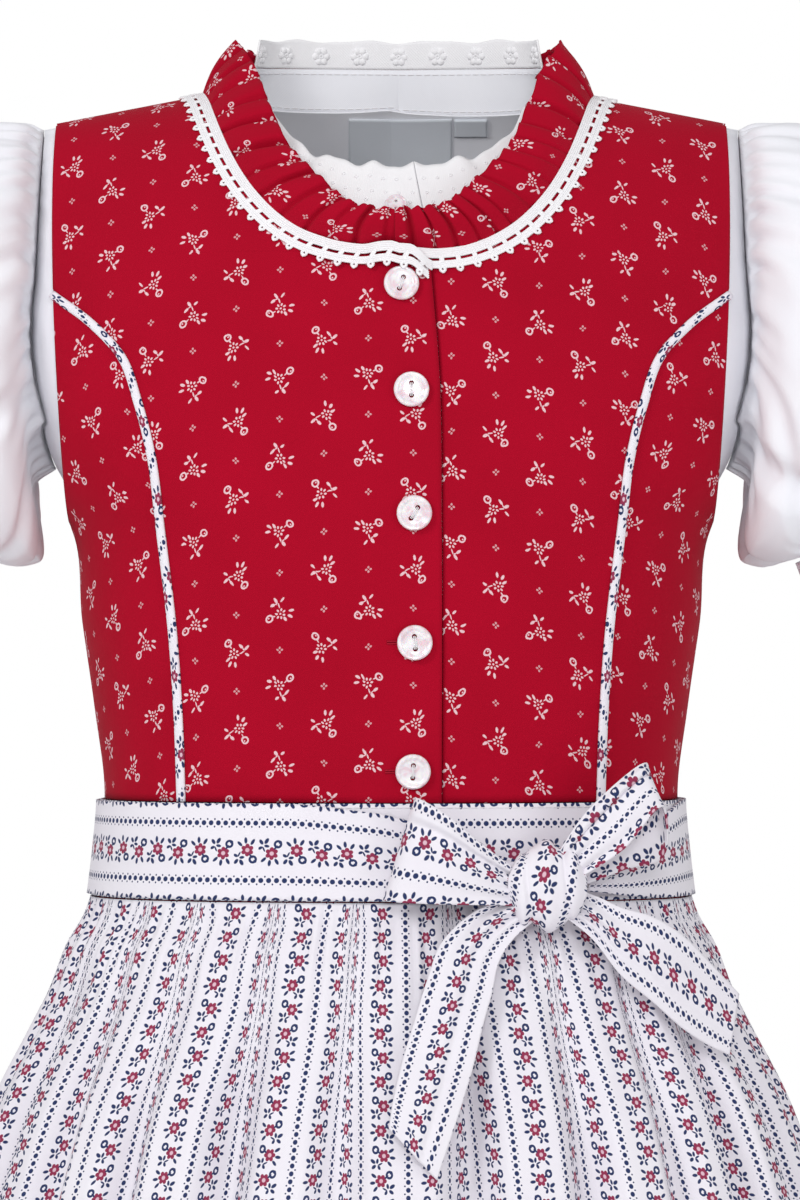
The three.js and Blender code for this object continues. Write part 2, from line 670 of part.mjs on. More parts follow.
const wrapTo = (phi, start) => phi + 360 * Math.ceil((start - phi) / 360 - 1e-9);
function drapeWall(name, material, from, to, rows, out, shift) {
  const columns = COLUMNS
    .map((c) => ({ ...c, turn: wrapTo(c.waist, from) - c.waist }))
    .filter((c) => c.waist + c.turn <= to + 1e-9)
    .sort((a, b) => a.waist + a.turn - b.waist - b.turn);
  const grid = rows.map((z) => columns.map(({ waist, hem, gather, turn }) => {
    const t = THREE.MathUtils.clamp((z - SKIRT_TOP) / (SKIRT_HEM - SKIRT_TOP), 0, 1);
    const phi = lerp(waist, hem, t) + turn;
    return {
      outer: drape(phi, z, out, gather).add(shift),
      inner: drape(phi, z, out - SKIRT_CLOTH, gather).add(shift),
    };
  }));
  return add(name, material, clothWall(grid));
}

const skirtRows = [SKIRT_TOP, APRON_TOP, ...DRAPE_ROWS, APRON_HEM, SKIRT_HEM];
drapeWall('skirt_front', 'red_print', -SIDE, SIDE, skirtRows, -SKIRT_INSET, V(0, -half, 0));
drapeWall('skirt_back', 'red_print', SIDE, 360 - SIDE, skirtRows, -SKIRT_INSET, V(0, half, 0));
drapeWall('apron_panel', 'apron_stripe', -APRON_EDGE, APRON_EDGE,
  [APRON_TOP, ...DRAPE_ROWS, APRON_HEM], 0, V(0, 0, 0));

// ---------- waistband and ties ----------
// The knot at the wearer's left; everything that runs into it is cut clear of it.
const KNOT = { x: 61.5, y: -93, z: -319, halfWidth: 14, halfDepth: 9, halfHeight: 17.5, lean: 12 };
const knotAt = new THREE.Matrix4().makeTranslation(KNOT.x, KNOT.y, KNOT.z)
  .multiply(new THREE.Matrix4().makeRotationY(rad(KNOT.lean)));

// The knot is a pinched ball, grown by `more` where it cuts what runs into it.
function knotGeometry(more) {
  const knot = new THREE.SphereGeometry(1, 14, 9);
  knot.rotateX(rad(90));
  const at = knot.attributes.position;
  for (let i = 0; i < at.count; i += 1) {
    const [x, y, z] = [at.getX(i), at.getY(i), at.getZ(i)];
    const pinch = 1 + 0.12 * Math.cos(3 * Math.atan2(y, x));
    at.setXYZ(i, x * pinch * (KNOT.halfWidth + more), y * (KNOT.halfDepth + more),
      z * (KNOT.halfHeight + more));
  }
  return knot.applyMatrix4(knotAt);
}
const cutByKnot = (wall) => fromSolid(solid(wall).subtract(solid(knotGeometry(SEAM_GAP))));

const BAND_TOP = -286.4;
const BAND_BOTTOM = -325;
const BAND_OUT = 1.7; // outer faces, over the bodice's own surface
const TIE_OUT = BAND_OUT + TIE_CLOTH + 0.5;
const RING_STEP = 6; // degrees between columns, shared by everything that lies round the waist

function ring(name, from, to, edges, trim = (wall) => wall) {
  const count = Math.round(Math.abs(to - from) / RING_STEP);
  const grid = [0, 1].map((across) => steps(count).map((t) => {
    const phi = lerp(from, to, t);
    const { top, bottom, out } = edges(phi);
    const z = lerp(top, bottom, across);
    return { outer: body(phi, z, out), inner: body(phi, z, out - TIE_CLOTH) };
  }));
  add(name, 'apron_stripe', trim(clothWall(grid)));
}

ring('apron_waistband', -108, 108, () => ({ top: BAND_TOP, bottom: BAND_BOTTOM, out: BAND_OUT }));

const KNOT_RISE = 7; // how far the ties lift off the band where they enter the knot
// How each tie lies: where it starts, runs, and goes into the knot.
const TIE_LONG = [
  { phi: 114, top: BAND_TOP, bottom: -324.5, out: BAND_OUT },
  { phi: 126, top: -290, bottom: -324, out: BAND_OUT },
  { phi: 150, top: -307, bottom: -323, out: BAND_OUT },
  { phi: 210, top: -307, bottom: -323, out: TIE_OUT },
  { phi: 234, top: -296, bottom: -324, out: TIE_OUT },
  { phi: 246, top: -287, bottom: -324.6, out: TIE_OUT },
  { phi: 342, top: BAND_TOP, bottom: -324.8, out: TIE_OUT },
  { phi: 360, top: -291, bottom: -325, out: TIE_OUT },
  { phi: 372, top: -300, bottom: -325, out: TIE_OUT },
  { phi: 378, top: -307, bottom: -325, out: TIE_OUT + 2 },
  { phi: 390, top: -312, bottom: -324, out: TIE_OUT + KNOT_RISE },
];
const TIE_SHORT = [
  { phi: 36, top: -312, bottom: -322, out: TIE_OUT + KNOT_RISE },
  { phi: 48, top: -304, bottom: -324, out: TIE_OUT + 2 },
  { phi: 60, top: -295, bottom: -325, out: TIE_OUT },
  { phi: 78, top: BAND_TOP, bottom: -325, out: TIE_OUT },
  { phi: 114, top: BAND_TOP, bottom: -324.6, out: TIE_OUT },
  { phi: 126, top: BAND_TOP, bottom: -314, out: TIE_OUT },
  { phi: 150, top: BAND_TOP, bottom: -303, out: TIE_OUT },
  { phi: 210, top: BAND_TOP, bottom: -303, out: BAND_OUT },
  { phi: 234, top: BAND_TOP, bottom: -318, out: BAND_OUT },
  { phi: 246, top: BAND_TOP, bottom: -324.5, out: BAND_OUT },
];
function tie(name, table) {
  const edge = (phi) => Object.fromEntries(['top', 'bottom', 'out']
    .map((key) => [key, read(table, key, phi, 'phi')]));
  ring(name, table[0].phi, table[table.length - 1].phi, edge, cutByKnot);
}
tie('apron_tie_right', TIE_LONG);
tie('apron_tie_left', TIE_SHORT);

// ---------- bow ----------
// Each strip is a list of stations: its two edges (x, z) and its depth y.
const BOW_LOOP_RIGHT = [
  { x1: 52, z1: -314, x2: 52, z2: -326, y1: -93, y2: -93 },
  { x1: 35, z1: -301, x2: 31, z2: -325.5, y1: -101, y2: -102 },
  { x1: 22, z1: -290, x2: 14, z2: -325, y1: -103, y2: -105 },
  { x1: 10.4, z1: -283.6, x2: -2, z2: -324, y1: -99, y2: -100 },
  { x1: 11, z1: -284.6, x2: -0.5, z2: -323.5, y1: -93, y2: -93 },
  { x1: 28, z1: -297, x2: 27, z2: -324, y1: -92, y2: -92 },
  { x1: 51, z1: -314, x2: 51, z2: -325, y1: -89, y2: -89 },
];
const BOW_LOOP_LEFT = [
  { x1: 63, z1: -309, x2: 70, z2: -318, y1: -93, y2: -93 },
  { x1: 78, z1: -288, x2: 91, z2: -304, y1: -97, y2: -98 },
  { x1: 98, z1: -271, x2: 107, z2: -288, y1: -92, y2: -94 },
  { x1: 99.5, z1: -272, x2: 108, z2: -306, y1: -86, y2: -84 },
  { x1: 82, z1: -287, x2: 92, z2: -312.5, y1: -84, y2: -82 },
  { x1: 66, z1: -310, x2: 71, z2: -320, y1: -89, y2: -88 },
];
const BOW_TAIL_RIGHT = [
  { x1: 50, z1: -322, x2: 60, z2: -329, y1: -92, y2: -92 },
  { x1: 31.6, z1: -329, x2: 48, z2: -339, y1: -96, y2: -98 },
  { x1: 20, z1: -340, x2: 42.4, z2: -348, y1: -101, y2: -101 },
  { x1: 14.4, z1: -354, x2: 39.6, z2: -360, y1: -107, y2: -106 },
  { x1: 8.8, z1: -371.6, x2: 36, z2: -372.4, y1: -114, y2: -112 },
  { x1: 5.2, z1: -383, x2: 32.4, z2: -387, y1: -119, y2: -118 },
  { x1: 1.6, z1: -397, x2: 28.4, z2: -400, y1: -126, y2: -125 },
  { x1: -0.8, z1: -410.8, x2: 18, z2: -430.4, y1: -131, y2: -137 },
];
const BOW_TAIL_LEFT = [
  { x1: 68, z1: -318, x2: 65, z2: -328, y1: -93, y2: -93 },
  { x1: 81, z1: -322.5, x2: 79, z2: -339, y1: -92, y2: -93 },
  { x1: 91, z1: -327, x2: 90, z2: -353, y1: -91, y2: -92 },
  { x1: 104, z1: -331, x2: 104, z2: -365, y1: -88, y2: -88 },
  { x1: 115, z1: -338, x2: 114, z2: -374, y1: -83, y2: -84 },
  { x1: 126, z1: -349, x2: 124, z2: -381, y1: -77, y2: -79 },
  { x1: 138, z1: -362, x2: 134, z2: -386, y1: -70, y2: -74 },
];
const BOW_ACROSS = 3;
const BOW_RIPPLE = 1.3; // how far the strip bends forward across its width

function bowStrip(name, stations) {
  const sheet = steps(BOW_ACROSS).map((across) => stations.map((s, i) => {
    const ripple = BOW_RIPPLE * Math.sin(Math.PI * across) * Math.cos(i * 1.9 + across * 4);
    return V(lerp(s.x1, s.x2, across), lerp(s.y1, s.y2, across) - ripple,
      lerp(s.z1, s.z2, across));
  }));
  add(name, 'apron_stripe', cutByKnot(clothWall(thicken(sheet, TIE_CLOTH))));
}
bowStrip('bow_loop_right', BOW_LOOP_RIGHT);
bowStrip('bow_loop_left', BOW_LOOP_LEFT);
bowStrip('bow_tail_right', BOW_TAIL_RIGHT);
bowStrip('bow_tail_left', BOW_TAIL_LEFT);
add('bow_knot', 'apron_stripe', fromSolid(solid(knotGeometry(0))));

// ---------- blouse ----------
const BLOUSE_OUT = -BODICE_CLOTH - 2.2; // its outer face, inside the bodice
const BLOUSE_ARMHOLE = [
  { x: 141, z: shoulderZ(141) },
  { x: 143, z: -41 },
  { x: 145, z: -75 },
  { x: 147, z: -96 },
  { x: 146.3, z: -115 },
  { x: 143.8, z: -136 },
];
const BLOUSE_UNDERARM = -156;
const BLOUSE_HEM = -205;
const BLOUSE_NECK_AWAY = -9;
const BLOUSE_PLACKET_X = 13;

// The sleeve seam as one loop, by angle: 0 at the shoulder, 90 in front, 180 below, 270 behind.
function armholeLoop(side, angle) {
  const down = (1 - Math.cos(rad(angle))) / 2;
  const z = lerp(BLOUSE_ARMHOLE[0].z, BLOUSE_UNDERARM, down);
  const front = angle <= 180;
  const last = BLOUSE_ARMHOLE[BLOUSE_ARMHOLE.length - 1];
  let phi = 90;
  if (z >= last.z) phi = phiFront(read(BLOUSE_ARMHOLE, 'x', z), z);
  else phi = lerp(phiFront(last.x, last.z), 90, Math.sqrt((last.z - z) / (last.z - BLOUSE_UNDERARM)));
  const turned = front ? phi : 180 - phi;
  return { phi: side > 0 ? turned : 360 - turned, z };
}

function blouseNeck(side) {
  return besideNeck(side, 24, BLOUSE_NECK_AWAY);
}

const BLOUSE_RIDGE = -BODICE_CLOTH - 0.5; // at the shoulder seam, where the bodice rests on it
const BLOUSE_SLACK = 3.4; // how much further in it lies below the bust
const ARM_ROWS = 7;
const frontArm = (side) => steps(ARM_ROWS).map((t) => armholeLoop(side, t * 180))
  .map(({ phi, z }) => ({ phi: side > 0 ? phi : phi - 360, z }));
const belowArm = (phi) => [UNDERARM_Z, BLOUSE_HEM].map((z) => ({ phi, z }));
const blouseLift = (phi, z) => {
  const drop = shoulderZ(bodyPoint(phi, z).x) - z;
  const high = lerp(BLOUSE_RIDGE, BLOUSE_OUT, THREE.MathUtils.clamp(drop / 1.5, 0, 1));
  return high - BLOUSE_SLACK * smoothstep(-z, 105, 150);
};

function blouseFront(side) {
  const edge = BLOUSE_PLACKET_X + (side > 0 ? SEAM_GAP : 0);
  const neckPoints = blouseNeck(side).filter((p) => p.y < -6 && p.x * side > edge * side + 5);
  const middle = blouseNeck(1)[0];
  const neck = new THREE.CatmullRomCurve3([V(edge, middle.y, middle.z), ...neckPoints,
    neckRidge(side, BLOUSE_NECK_AWAY)]).getSpacedPoints(6);
  const top = [...neck, ...shoulderPoints(neck[6].x, side * BLOUSE_ARMHOLE[0].x, 3)]
    .map(({ x, z }) => onFront(x, z));
  const outer = [...frontArm(side), ...belowArm(side * 90)];
  const rows = outer.length - 1;
  const depths = depthsOf(outer);
  const inner = depths.map((t) => onFront(edge, lerp(neck[0].z, BLOUSE_HEM, t)));
  const bottom = steps(top.length - 1).map((s) => ({
    phi: lerp(inner[rows].phi, outer[rows].phi, s), z: BLOUSE_HEM,
  }));
  piece(`blouse_front_${side > 0 ? 'left' : 'right'}`, 'white_cotton',
    patch(top, bottom, inner, outer, depths), BLOUSE_CLOTH, 'front', blouseLift);
}

function blouseBack() {
  const halfNeck = (side) => [neckRidge(side, BLOUSE_NECK_AWAY),
    ...blouseNeck(side).filter((p) => p.y > 4)];
  const across = new THREE.CatmullRomCurve3([...halfNeck(1), ...halfNeck(-1).reverse().slice(1)])
    .getSpacedPoints(8);
  const tip = BLOUSE_ARMHOLE[0].x;
  const shoulder = (from, to) => shoulderPoints(from, to, 3).slice(0, 2);
  const top = [
    { x: tip, z: shoulderZ(tip) }, ...shoulder(tip, across[0].x), ...across,
    ...shoulder(across[8].x, -tip), { x: -tip, z: shoulderZ(tip) },
  ].map(({ x, z }) => onBack(x, z));
  const sideEdge = (side) => [
    ...steps(ARM_ROWS).map((t) => armholeLoop(side, 360 - t * 180)),
    ...belowArm(side > 0 ? 90 : 270),
  ];
  const bottom = steps(top.length - 1).map((s) => ({ phi: lerp(90, 270, s), z: BLOUSE_HEM }));
  const left = sideEdge(1);
  piece('blouse_back', 'white_cotton', patch(top, bottom, left, sideEdge(-1), depthsOf(left)),
    BLOUSE_CLOTH, 'back', blouseLift);
}
blouseFront(-1);
blouseFront(1);
blouseBack();

// Stand collar and its lace, by how far along the half neckline they are.
const COLLAR_TOP = [
  { s: 0, h: 0, y: -53, z: -33 },
  { s: 0.17, h: 20, y: -51, z: -31 },
  { s: 0.33, h: 38, y: -42, z: -25 },
  { s: 0.45, h: 51, y: -26, z: -8 },
  { s: 0.6, h: 59, y: 0, z: 9 },
  { s: 0.72, h: 52, y: 16, z: 10.5 },
  { s: 0.85, h: 32, y: 28, z: 11 },
  { s: 1, h: 0, y: 32, z: 11 },
];
const COLLAR_GAP = 1.4; // along the cloth, between the blouse's neck edge and the collar
const BACK_LACE_HEIGHT = 10.5;
const COLLAR_SHOULDER = 0.6; // share of the half neckline where front and back collar meet

function collarPoint(side, s, rise, bases) {
  const base = bases[Math.round(s * (bases.length - 1))];
  const from = base.clone().addScaledVector(shoulderNormal(base), BLOUSE_OUT + 1.2);
  const top = V(NECK_X + side * read(COLLAR_TOP, 'h', s, 's'),
    read(COLLAR_TOP, 'y', s, 's'), read(COLLAR_TOP, 'z', s, 's'));
  return from.lerp(top, rise);
}

const COLLAR_LAP = 0.05; // share of the half neckline by which the right side laps over
function collarFront(side) {
  const bases = besideNeck(side, 60, BLOUSE_NECK_AWAY - COLLAR_GAP);
  const others = besideNeck(-side, 60, BLOUSE_NECK_AWAY - COLLAR_GAP);
  const end = COLLAR_SHOULDER - 0.006;
  const columns = side > 0 ? steps(9).map((t) => lerp(COLLAR_LAP + 0.002, end, t))
    : [-COLLAR_LAP, ...steps(9).map((t) => t * end)];
  const sheet = [0, 0.5, 1].map((rise) => columns.map((s) => (s < 0
    ? collarPoint(-side, -s, rise, others) : collarPoint(side, s, rise, bases))));
  add(`blouse_collar_${side > 0 ? 'left' : 'right'}`, 'white_lace',
    clothWall(thicken(sheet, BLOUSE_CLOTH, { side })));
}

function collarBack() {
  const halfSheet = (side) => {
    const bases = besideNeck(side, 60, BLOUSE_NECK_AWAY - COLLAR_GAP);
    return steps(6).map((t) => lerp(COLLAR_SHOULDER + 0.006, 1, t))
      .map((s) => [0, 0.5, 1].map((rise) => collarPoint(side, s, rise, bases)));
  };
  const columns = [...halfSheet(1), ...halfSheet(-1).reverse().slice(1)];
  const sheet = [0, 1, 2].map((r) => columns.map((column) => column[r]));
  add('blouse_collar_back', 'white_cotton', clothWall(thicken(sheet, BLOUSE_CLOTH)));
  const lace = [0.9, BACK_LACE_HEIGHT].map((up) => columns.map((column, c) => {
    const lean = column[2].clone().sub(column[1]).normalize();
    const inward = c === 0 || c === columns.length - 1 ? 0.6 : 1;
    return column[2].clone().add(V(lean.x * up * 0.2, lean.y * up * 0.2, up * inward));
  }));
  add('blouse_back_lace', 'white_lace', clothWall(thicken(lace, BLOUSE_CLOTH)));
}
collarFront(-1);
collarFront(1);
collarBack();

// A small button on the collar, and the two bare tabs sewn inside the back.
const COLLAR_BUTTON = { x: 2, y: -63.5, z: -49.5, radius: 4.5 };
const collarButton = buttonGeometry(COLLAR_BUTTON.radius, 12).scale(1, 0.7, 1);
collarButton.rotateY(rad(90)).rotateX(rad(180 - 28));
collarButton.translate(COLLAR_BUTTON.x, COLLAR_BUTTON.y, COLLAR_BUTTON.z);
add('blouse_button', 'pearl', collarButton);

const TAB_OUT = BLOUSE_OUT - BLOUSE_CLOTH - 0.8;
const TAB_CLOTH = 1;
function tab(name, { left, right, top, bottom }) {
  const grid = [top, lerp(top, bottom, 0.5), bottom].map((z) => steps(4)
    .map((t) => phiBack(lerp(left, right, t), z))
    .map((phi) => ({ outer: body(phi, z, TAB_OUT), inner: body(phi, z, TAB_OUT - TAB_CLOTH) })));
  add(name, 'white_cotton', clothWall(grid));
}
tab('neck_label', { left: -18, right: 25.5, top: -6, bottom: -32 });
tab('size_tab', { left: 26.5, right: 40, top: -6, bottom: -13 });

// ---------- puff sleeves ----------
// Rings of the sleeve: its top and bottom points in the front view, and half its depth.
const SLEEVE = [
  { topX: 149, topZ: -12, bottomX: 144, bottomZ: -160, depth: 46 },
  { topX: 168, topZ: -12.5, bottomX: 142, bottomZ: -172, depth: 58 },
  { topX: 193, topZ: -24, bottomX: 140.5, bottomZ: -182, depth: 65 },
  { topX: 217, topZ: -50, bottomX: 141, bottomZ: -189, depth: 67 },
  { topX: 234, topZ: -90, bottomX: 145, bottomZ: -192, depth: 64 },
  { topX: 240, topZ: -132, bottomX: 153, bottomZ: -193, depth: 54 },
  { topX: 226, topZ: -166, bottomX: 163.5, bottomZ: -190, depth: 36 },
];
const SLEEVE_COLUMNS = 32;
const SLEEVE_GAP = 1.3; // along X, between the armhole's slanting edge and the sleeve head
const SLEEVE_GATHER = [0.3, 1.2, 1.0, 0.8, 0.7, 0.9, 1.2, 0.4];
const CUFF = { width: 11, columns: 20, cloth: 1.4 };

function sleeveRing(side, row, angle) {
  const [c, s] = [Math.cos(rad(angle)), Math.sin(rad(angle))];
  const squash = (v) => Math.sign(v) * Math.abs(v) ** 0.92;
  const x = (row.topX + row.bottomX) / 2 + (squash(c) * (row.topX - row.bottomX)) / 2;
  const z = (row.topZ + row.bottomZ) / 2 + (squash(c) * (row.topZ - row.bottomZ)) / 2;
  return V(side * x, -squash(s) * row.depth, z);
}

function sleeve(side) {
  const name = side > 0 ? 'left' : 'right';
  const angles = Array.from({ length: SLEEVE_COLUMNS }, (_, i) => (i * 360) / SLEEVE_COLUMNS);
  const head = angles.map((angle) => {
    const { phi, z } = armholeLoop(side, angle);
    return body(phi, z, blouseLift(phi, z)).add(V(side * SLEEVE_GAP, 0, 0));
  });
  const rings = [head, ...SLEEVE.map((row) => angles.map((angle) => sleeveRing(side, row, angle)))];
  const sheet = rings.map((line, r) => {
    const centre = line.reduce((sum, p) => sum.add(p), V(0, 0, 0)).divideScalar(line.length);
    return line.map((p, c) => p.clone().addScaledVector(
      p.clone().sub(centre).normalize(), SLEEVE_GATHER[r] * (c % 2 ? 1 : -1) - 1));
  });
  add(`sleeve_${name}`, 'white_cotton',
    clothWall(thicken(sheet, BLOUSE_CLOTH, { closed: true, side }), { closed: true }));

  const last = SLEEVE[SLEEVE.length - 1];
  const arm = V(last.topZ - last.bottomZ, 0, last.bottomX - last.topX).normalize();
  const cuffAngles = Array.from({ length: CUFF.columns }, (_, i) => (i * 360) / CUFF.columns);
  const cuff = [1.6, 1.6 + CUFF.width].map((down) => cuffAngles.map((angle) => {
    const p = sleeveRing(1, last, angle).addScaledVector(arm, down);
    return V(side * p.x, p.y, p.z);
  }));
  add(`cuff_${name}`, 'white_cotton',
    clothWall(thicken(cuff, CUFF.cloth, { closed: true, side }), { closed: true }));
}
sleeve(-1);
sleeve(1);

export default dirndl;
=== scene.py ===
# %% [markdown]
# # A child's dirndl with its blouse and apron
# The real set is cut and sewn cotton: a fitted sleeveless bodice with a gathered skirt, a white
# blouse under it, and an apron that is tied in a bow. Each cut piece becomes one mesh here, made
# from rows of points, because cloth is a thin sheet that follows a rule: the bodice follows the
# body's form, the skirt follows its folds, a ribbon follows its stations.
# Lengths are in millimetres until a mesh is made. +Z is up, -Y is the front, and +X is the
# wearer's left.

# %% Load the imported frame
import math

import bmesh
import bpy
import numpy as np
from mathutils import Matrix, Vector


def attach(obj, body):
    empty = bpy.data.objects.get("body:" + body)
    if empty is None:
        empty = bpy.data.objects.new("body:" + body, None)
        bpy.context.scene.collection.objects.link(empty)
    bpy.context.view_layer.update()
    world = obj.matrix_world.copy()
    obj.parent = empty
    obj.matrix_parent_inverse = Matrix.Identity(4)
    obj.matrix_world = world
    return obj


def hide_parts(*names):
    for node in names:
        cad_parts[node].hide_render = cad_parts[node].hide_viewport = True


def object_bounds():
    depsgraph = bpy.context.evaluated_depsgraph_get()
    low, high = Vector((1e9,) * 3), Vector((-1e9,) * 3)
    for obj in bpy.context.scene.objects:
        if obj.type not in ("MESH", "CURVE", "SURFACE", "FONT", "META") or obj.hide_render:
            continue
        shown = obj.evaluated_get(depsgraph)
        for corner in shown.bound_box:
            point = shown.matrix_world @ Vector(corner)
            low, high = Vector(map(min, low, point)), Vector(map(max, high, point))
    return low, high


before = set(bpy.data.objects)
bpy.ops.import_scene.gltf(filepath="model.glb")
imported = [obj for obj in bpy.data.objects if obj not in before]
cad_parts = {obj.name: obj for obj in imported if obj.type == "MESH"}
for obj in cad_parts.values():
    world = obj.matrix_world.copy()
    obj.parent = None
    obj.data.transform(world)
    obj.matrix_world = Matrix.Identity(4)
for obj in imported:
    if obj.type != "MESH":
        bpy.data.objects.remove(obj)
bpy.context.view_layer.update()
MM = 0.001
rng = np.random.default_rng(7)
print("frame:", len(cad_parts), "nodes")

# %% [markdown]
# ## Smooth lines through a few measured points
# A pattern cutter marks a few points and joins them with a curve. `spline` does the same: it
# passes through every point and gives back as many evenly spaced ones as the mesh needs.
# `eased` turns a range into a soft step from 0 to 1.

# %% Curves and soft steps
def spline(points, count):
    """Evenly spaced points on a smooth line through `points`; each may itself be an array."""
    points = np.asarray(points, float)
    flat = points.reshape(len(points), -1)
    at = travelled(flat)
    slope = np.gradient(flat, at, axis=0)
    t = np.linspace(0, at[-1], 30 * len(points))
    i = np.clip(np.searchsorted(at, t, side="right") - 1, 0, len(at) - 2)
    gap = (at[i + 1] - at[i])[:, None]
    s = (t - at[i])[:, None] / gap
    fine = (
        (2 * s**3 - 3 * s**2 + 1) * flat[i]
        + (s**3 - 2 * s**2 + s) * gap * slope[i]
        + (3 * s**2 - 2 * s**3) * flat[i + 1]
        + (s**3 - s**2) * gap * slope[i + 1]
    )
    run = travelled(fine)
    even = np.linspace(0, run[-1], count)
    line = np.stack([np.interp(even, run, column) for column in fine.T], -1)
    return line.reshape((count,) + points.shape[1:])


def reader(rows):
    """A smooth table whose first column falls: reader(rows)(column, z)."""
    line = spline(rows, 600)
    return lambda column, z: np.interp(-np.asarray(z, float), -line[:, 0], line[:, column])


def eased(x, low, high):
    t = np.clip((np.asarray(x, float) - low) / (high - low), 0, 1)
    return t * t * (3 - 2 * t)


def unit(vectors):
    return vectors / np.maximum(np.linalg.norm(vectors, axis=-1, keepdims=True), 1e-9)


def travelled(points):
    """The length from the first point to each point of a line, or of each column of a grid."""
    steps = np.linalg.norm(np.diff(points, axis=0), axis=-1)
    return np.concatenate([np.zeros((1,) + steps.shape[1:]), np.cumsum(steps, axis=0)])


quarter = [(100 * math.cos(t), 100 * math.sin(t)) for t in np.linspace(0, math.pi / 2, 9)]
print("a quarter circle in mm:", round(float(travelled(spline(quarter, 60))[-1]), 1))


# %% [markdown]
# ## The form under the cloth
# A bodice is cut to a body: half its width, its depth in front and its depth behind are given
# at a few heights. `form_at` gives the point at an angle round the body (0 is the centre front,
# 90 the wearer's left) and a height, and `raised` moves points out along the surface's normal.

# %% The body's form
FORM = [  # height, half width, depth in front, depth behind
    (40, 157, 88, 84), (-50, 157, 88, 84), (-100, 155, 88, 84), (-130, 150, 88, 83),
    (-150, 144, 88, 82), (-166, 136, 88, 81), (-176, 130, 87.5, 80), (-215, 125, 86, 76),
    (-250, 120, 83.5, 73), (-286, 116, 81, 70.5), (-305, 117.5, 82, 72), (-330, 120.5, 84, 74),
]
SHOULDER_TOP, SHOULDER_SLOPE, SHOULDER_DROP = 13.1, 0.192, 190
ROUNDNESS = 2.4
WAIST = -286
form_row = reader(FORM)


def shoulder_z(x):
    return SHOULDER_TOP - SHOULDER_SLOPE * np.abs(x)


def form_at(phi, z):
    phi, z = np.broadcast_arrays(np.asarray(phi, float), np.asarray(z, float))
    s = np.sin(np.radians(phi))
    x = form_row(1, z) * s
    drop = np.clip((shoulder_z(x) - z) / SHOULDER_DROP, 0, 1)
    round_off = np.maximum(0, 1 - np.abs(s) ** ROUNDNESS) ** (1 / ROUNDNESS)
    depth = np.sqrt(1 - (1 - drop) ** 2) * round_off
    y = depth * np.where(np.cos(np.radians(phi)) >= 0, -form_row(2, z), form_row(3, z))
    return np.stack([x, y, z], -1)


def raised(at, phi, z, out, level=False):
    """Points of the surface `at`, moved out along its normal."""
    across = at(phi + 0.5, z) - at(phi - 0.5, z)
    down = at(phi, z - 1) - at(phi, z)
    normal = np.cross(down, across)
    if level:
        normal[..., 2] = 0
    return at(phi, z) + unit(normal) * np.asarray(out, float)[..., None]


def phi_front(x, z):
    return np.degrees(np.arcsin(np.clip(x / form_row(1, z), -1, 1)))


print("girth at the waist in mm:", round(float(travelled(form_at(np.arange(361), WAIST))[-1])))


# %% [markdown]
# ## The neckline
# The neckline is drawn in plan, as half widths and depths, and dropped on the shoulders.
# Frill, lace and collar all run beside it, so `beside_neck` walks a given distance from it
# along the surface.

# %% Neckline and the lines beside it
NECK_X = 3
NECK_PLAN = np.array([
    (0, -71.9), (14, -71.1), (28, -69), (45, -63.6), (58, -55.6), (67, -45.6), (72.5, -35),
    (77, -19.8), (80, 0), (78, 11), (70, 20), (54, 28.5), (28, 36), (0, 40.1),
])
NECK_HALF = 80


def on_shoulders(x, y):
    z = shoulder_z(x)
    for _ in range(14):
        depth = np.where(y < 0, form_row(2, z), form_row(3, z))
        s = np.abs(x / form_row(1, z))
        full = depth * np.maximum(1e-6, 1 - s**ROUNDNESS) ** (1 / ROUNDNESS)
        part = np.minimum(0.995, np.abs(y) / full)
        z = shoulder_z(x) - SHOULDER_DROP * (1 - np.sqrt(1 - part**2))
    return np.stack([x, y, z], -1)


def shoulder_normal(p):
    x, y = p[..., 0], p[..., 1]
    east = on_shoulders(x + 0.5, y) - on_shoulders(x - 0.5, y)
    north = on_shoulders(x, y + 0.5) - on_shoulders(x, y - 0.5)
    return unit(np.cross(east, north))


def neck_line(side, count):
    """Half the neckline from centre front to centre back; side is 1 on the wearer's left."""
    return spline(on_shoulders(NECK_X + side * NECK_PLAN[:, 0], NECK_PLAN[:, 1]), count)


def beside_neck(side, count, away):
    line = neck_line(side, count)
    along = np.gradient(line, axis=0) * side
    along[0], along[-1] = (1, 0, 0), (-1, 0, 0)
    steps = 4
    for _ in range(steps):
        line = line + unit(np.cross(along, shoulder_normal(line))) * away / steps
        line = on_shoulders(line[:, 0], line[:, 1])
    return line


def neck_ridge(side, away=0):
    x = NECK_X + side * (NECK_HALF + away)
    return np.array([x, 0, shoulder_z(x)])


print("neckline in mm:", round(sum(float(travelled(neck_line(side, 200))[-1]) for side in (-1, 1))))


# %% [markdown]
# ## From rows of points to a piece of cloth
# Each piece is a grid of points plus the place that each point had in the flat cut. The flat
# place becomes the UV map in metres, so that a printed stripe bends and gathers with the cloth.
# Solidify gives the sheet its thickness, inwards, and may show a plain lining on the inside.

# %% Cloth meshes
CUTS, SURFACES = {}, {}
HAND = {-1: "right", 1: "left"}
DRESS_WALL, APRON_WALL, BLOUSE_WALL, BAND_WALL, CUFF_WALL = 1.2, 1.0, 0.8, 1.1, 1.4


